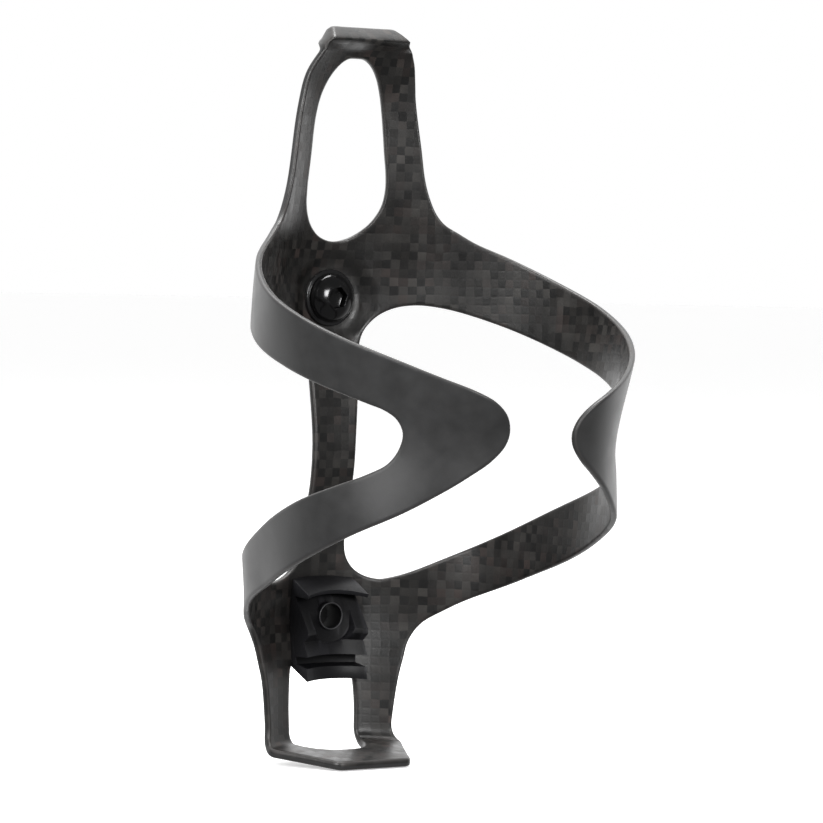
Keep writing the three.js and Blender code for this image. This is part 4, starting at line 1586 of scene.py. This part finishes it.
@dataclass
class Fastener:
    """The upper button-head bolt and its washer."""

    sizes: CageSizes
    head_radius: float = 5.0
    head_height: float = 2.8
    rim: float = 0.45
    socket_flats: float = 4.0
    socket_depth: float = 2.0
    shank_radius: float = 2.4
    shank_end: float = 5.65
    washer_radius: float = 5.7
    washer_bore: float = 2.65
    washer_thickness: float = 0.8
    washer_soft: float = 0.18
    # The small gap between washer and head, the socket's turn, and the end of the dome's arc.
    gap: float = 0.05
    socket_turn: float = 12.0
    dome_end: float = 64.0
    dome_steps: int = 14
    # Softened edges: the shank's end, the head's back and the socket's mouth.
    shank_soft: float = 0.5
    head_soft: float = 0.15
    edge: float = 0.14

    def build(self) -> None:
        """Builds the washer and the bolt."""
        laminate = Laminate(self.sizes)
        level = self.sizes.upper_bolt
        depth = self.sizes.axis_depth - self.sizes.bottle_radius - float(laminate.outside(0.0, level))
        seat = -(depth + self.sizes.plate_wall / 2)
        # Black steel with a painted highlight on its sharp edges.
        steel = SolidFinish("black_steel", (0.006, 0.006, 0.0065, 1), 0.16, metallic=0.55, grain_scale=700,
                            grain_depth=0.00001, edge=(0.09, 0.09, 0.095, 1), edge_share=0.3, coat=0.5)
        black = steel.build()
        self._add(self._washer(seat, level), "black_washer", "upper_washer", black)
        head_seat = seat - self.washer_thickness - self.gap
        self._add(self._bolt(head_seat, level), "button_head_bolt", "upper_bolt", black)

    def _add(self, mesh: bpy.types.Mesh, name: str, node: str, finish: bpy.types.Material) -> None:
        """Puts one steel piece in the scene.

        Args:
            mesh: its mesh.
            name: its name.
            node: the CAD node that it stands for.
            finish: its finish.
        """
        thing = new_object(name, mesh)
        thing.data.materials.clear()
        thing.data.materials.append(finish)
        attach(thing, "body")
        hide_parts(node)
        LOG.info("%s: %d faces", name, len(mesh.polygons))

    def _washer(self, seat: float, level: float) -> bpy.types.Mesh:
        """The washer with softened rims.

        Args:
            seat: y of the face that it lies on.
            level: height of the bolt.

        Returns:
            The mesh, in metres.
        """
        bore, outer = self.washer_bore, self.washer_radius
        soft, thick = self.washer_soft, self.washer_thickness
        corner = soft * ROUND_CORNER
        profile = [
            (bore, seat), (outer - soft, seat), (outer, seat - soft), (outer, seat - thick + soft),
            (outer - corner, seat - thick + corner), (outer - soft, seat - thick), (bore, seat - thick)]
        mesh = turned_mesh("black_washer", profile, (0.0, 0.0, level), 72)
        smooth_by_angle(mesh, 50)
        return mesh

    def _bolt(self, seat: float, level: float) -> bpy.types.Mesh:
        """The domed head with its hexagon socket, on a plain shank.

        Args:
            seat: y of the face that the head lies on.
            level: height of the bolt.

        Returns:
            The mesh, in metres.
        """
        last = math.radians(self.dome_end)
        dome = []
        for k in range(self.dome_steps + 1):
            turn = last * k / self.dome_steps
            rise = self.rim + (self.head_height - self.rim) * math.sin(turn) / math.sin(last)
            dome.append((self.head_radius * math.cos(turn), seat - rise))
        top = seat - self.head_height
        shank, end, taper = self.shank_radius, self.shank_end, self.shank_soft
        head, soft = self.head_radius, self.head_soft
        profile = [
            (0.0, end), (shank - taper, end), (shank, end - taper), (shank, seat),
            (head - soft, seat), (head, seat - soft), *dome, (0.0, top)]
        thing = new_object("bolt_blank", turned_mesh("button_head_bolt", profile, (0.0, 0.0, level), 96))
        radius = self.socket_flats / math.sqrt(3)
        turns = [math.radians(60 * k + self.socket_turn) for k in range(6)]
        corners = [(radius * math.cos(t), level + radius * math.sin(t)) for t in turns]
        cut(thing, prism_mesh("socket", corners, top + self.socket_depth, top - 3))
        softened(thing, self.edge, corner=34, smooth=40)
        mesh = thing.data
        bpy.data.objects.remove(thing)
        return mesh


# ---------------------------------------------------------------- studio


@dataclass
class Studio:
    """Pale floor, soft lights and the camera."""

    # The camera: focal length and sensor in millimetres, place in millimetres.
    lens: float = 169.55
    sensor: float = 36.0
    position: tuple[float, float, float] = (-415.7, -666.1, 35.6)
    floor_size: float = 60.0
    backdrop_direction: tuple[float, float, float] = (0.55, 0.83, 0.05)
    # How far round towards the backdrop the glow starts and ends, and its strength there.
    glow: tuple[float, float, float, float] = (0.0, 1.0, 0.20, 1.7)
    # Each soft box: name, place in metres, width in metres, power in watts.
    lamps: tuple[tuple[str, tuple[float, float, float], float, float], ...] = (
        ("key", (-0.85, -0.30, 0.30), 0.5, 6.5),
        ("top", (0.0, 0.1, 1.0), 0.6, 14.0),
        ("front", (-0.06, -1.0, 0.24), 0.28, 5.5),
        ("right", (1.0, 0.1, 0.05), 0.3, 0.3),
    )
    # The camera's own axes.
    camera_right: tuple[float, float, float] = (0.83484, -0.55016, 0.01882)
    camera_up: tuple[float, float, float] = (0.00277, 0.03839, 0.99926)
    camera_back: tuple[float, float, float] = (-0.55048, -0.83417, 0.03357)
    # Gap between the foot and the floor, in metres.
    floor_gap: float = 0.0002

    def build(self) -> None:
        """Builds the floor, the lights and the camera."""
        self._floor()
        self._lights()
        self._camera()

    def _floor(self) -> None:
        """A wide pale floor under the foot."""
        low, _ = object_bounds()
        half = self.floor_size / 2
        mesh = bpy.data.meshes.new("floor")
        corners = [(-half, -half, 0), (half, -half, 0), (half, half, 0), (-half, half, 0)]
        mesh.from_pydata(corners, [], [(0, 1, 2, 3)])
        floor = new_object("floor", mesh)
        floor.location.z = low.z - self.floor_gap
        floor.data.materials.append(PaperFloor().build())
        floor.visible_glossy = False
        floor.visible_diffuse = False
        floor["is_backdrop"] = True

    def _lights(self) -> None:
        """Bright surroundings and the soft boxes."""
        world = bpy.data.worlds.new("studio")
        world.use_nodes = True
        self._surroundings(world.node_tree)
        bpy.context.scene.world = world
        for lamp in self.lamps:
            self._box(*lamp)

    def _surroundings(self, tree: bpy.types.NodeTree) -> None:
        """A white backdrop that is bright behind the cage and dim in front of it.

        Args:
            tree: the world's nodes.
        """
        background = tree.nodes["Background"]
        place = tree.nodes.new("ShaderNodeTexCoord")
        ahead = tree.nodes.new("ShaderNodeVectorMath")
        ahead.operation = "DOT_PRODUCT"
        ahead.inputs[1].default_value = self.backdrop_direction
        tree.links.new(place.outputs["Generated"], ahead.inputs[0])
        glow = tree.nodes.new("ShaderNodeMapRange")
        glow.interpolation_type = "SMOOTHSTEP"
        for name, value in zip(("From Min", "From Max", "To Min", "To Max"), self.glow):
            glow.inputs[name].default_value = value
        tree.links.new(ahead.outputs["Value"], glow.inputs["Value"])
        seen = tree.nodes.new("ShaderNodeLightPath")
        strength = tree.nodes.new("ShaderNodeMix")
        tree.links.new(seen.outputs["Is Camera Ray"], strength.inputs[0])
        tree.links.new(glow.outputs[0], strength.inputs[2])
        strength.inputs[3].default_value = 1.0
        tree.links.new(strength.outputs[0], background.inputs["Strength"])
        background.inputs["Color"].default_value = (1.0, 1.0, 1.0, 1.0)

    @staticmethod
    def _box(name: str, place: tuple[float, float, float], size: float, power: float) -> None:
        """One square soft box that points at the cage.

        Args:
            name: its name.
            place: where it stands, in metres.
            size: its width in metres.
            power: its power in watts.
        """
        data = bpy.data.lights.new(name, "AREA")
        data.size = size
        data.energy = power
        lamp = bpy.data.objects.new(name, data)
        bpy.context.scene.collection.objects.link(lamp)
        lamp.location = place
        lamp.rotation_mode = "QUATERNION"
        lamp.rotation_quaternion = (-Vector(place)).to_track_quat("-Z", "Y")
        lamp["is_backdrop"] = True

    def _camera(self) -> None:
        """The camera in front, to the left and a little above."""
        data = bpy.data.cameras.new("camera")
        data.sensor_width = self.sensor
        data.lens = self.lens
        data.clip_start = 0.05
        data.clip_end = 20.0
        camera = bpy.data.objects.new("camera", data)
        bpy.context.scene.collection.objects.link(camera)
        axes = Matrix((self.camera_right, self.camera_up, self.camera_back))
        turn = axes.transposed().to_4x4()
        camera.matrix_world = Matrix.Translation(Vector(self.position) * MM) @ turn
        bpy.context.scene.camera = camera


def main() -> None:
    """Builds the cage and its studio."""
    logging.basicConfig(level=logging.INFO, format="%(name)s: %(message)s")
    sizes = CageSizes()
    for part in (CarbonMoulding(sizes), FramePads(sizes), CradleBlock(sizes), Fastener(sizes)):
        part.build()
    Studio().build()
    scene = bpy.context.scene
    scene.view_settings.view_transform = "Standard"


if __name__ == "__main__":
    main()
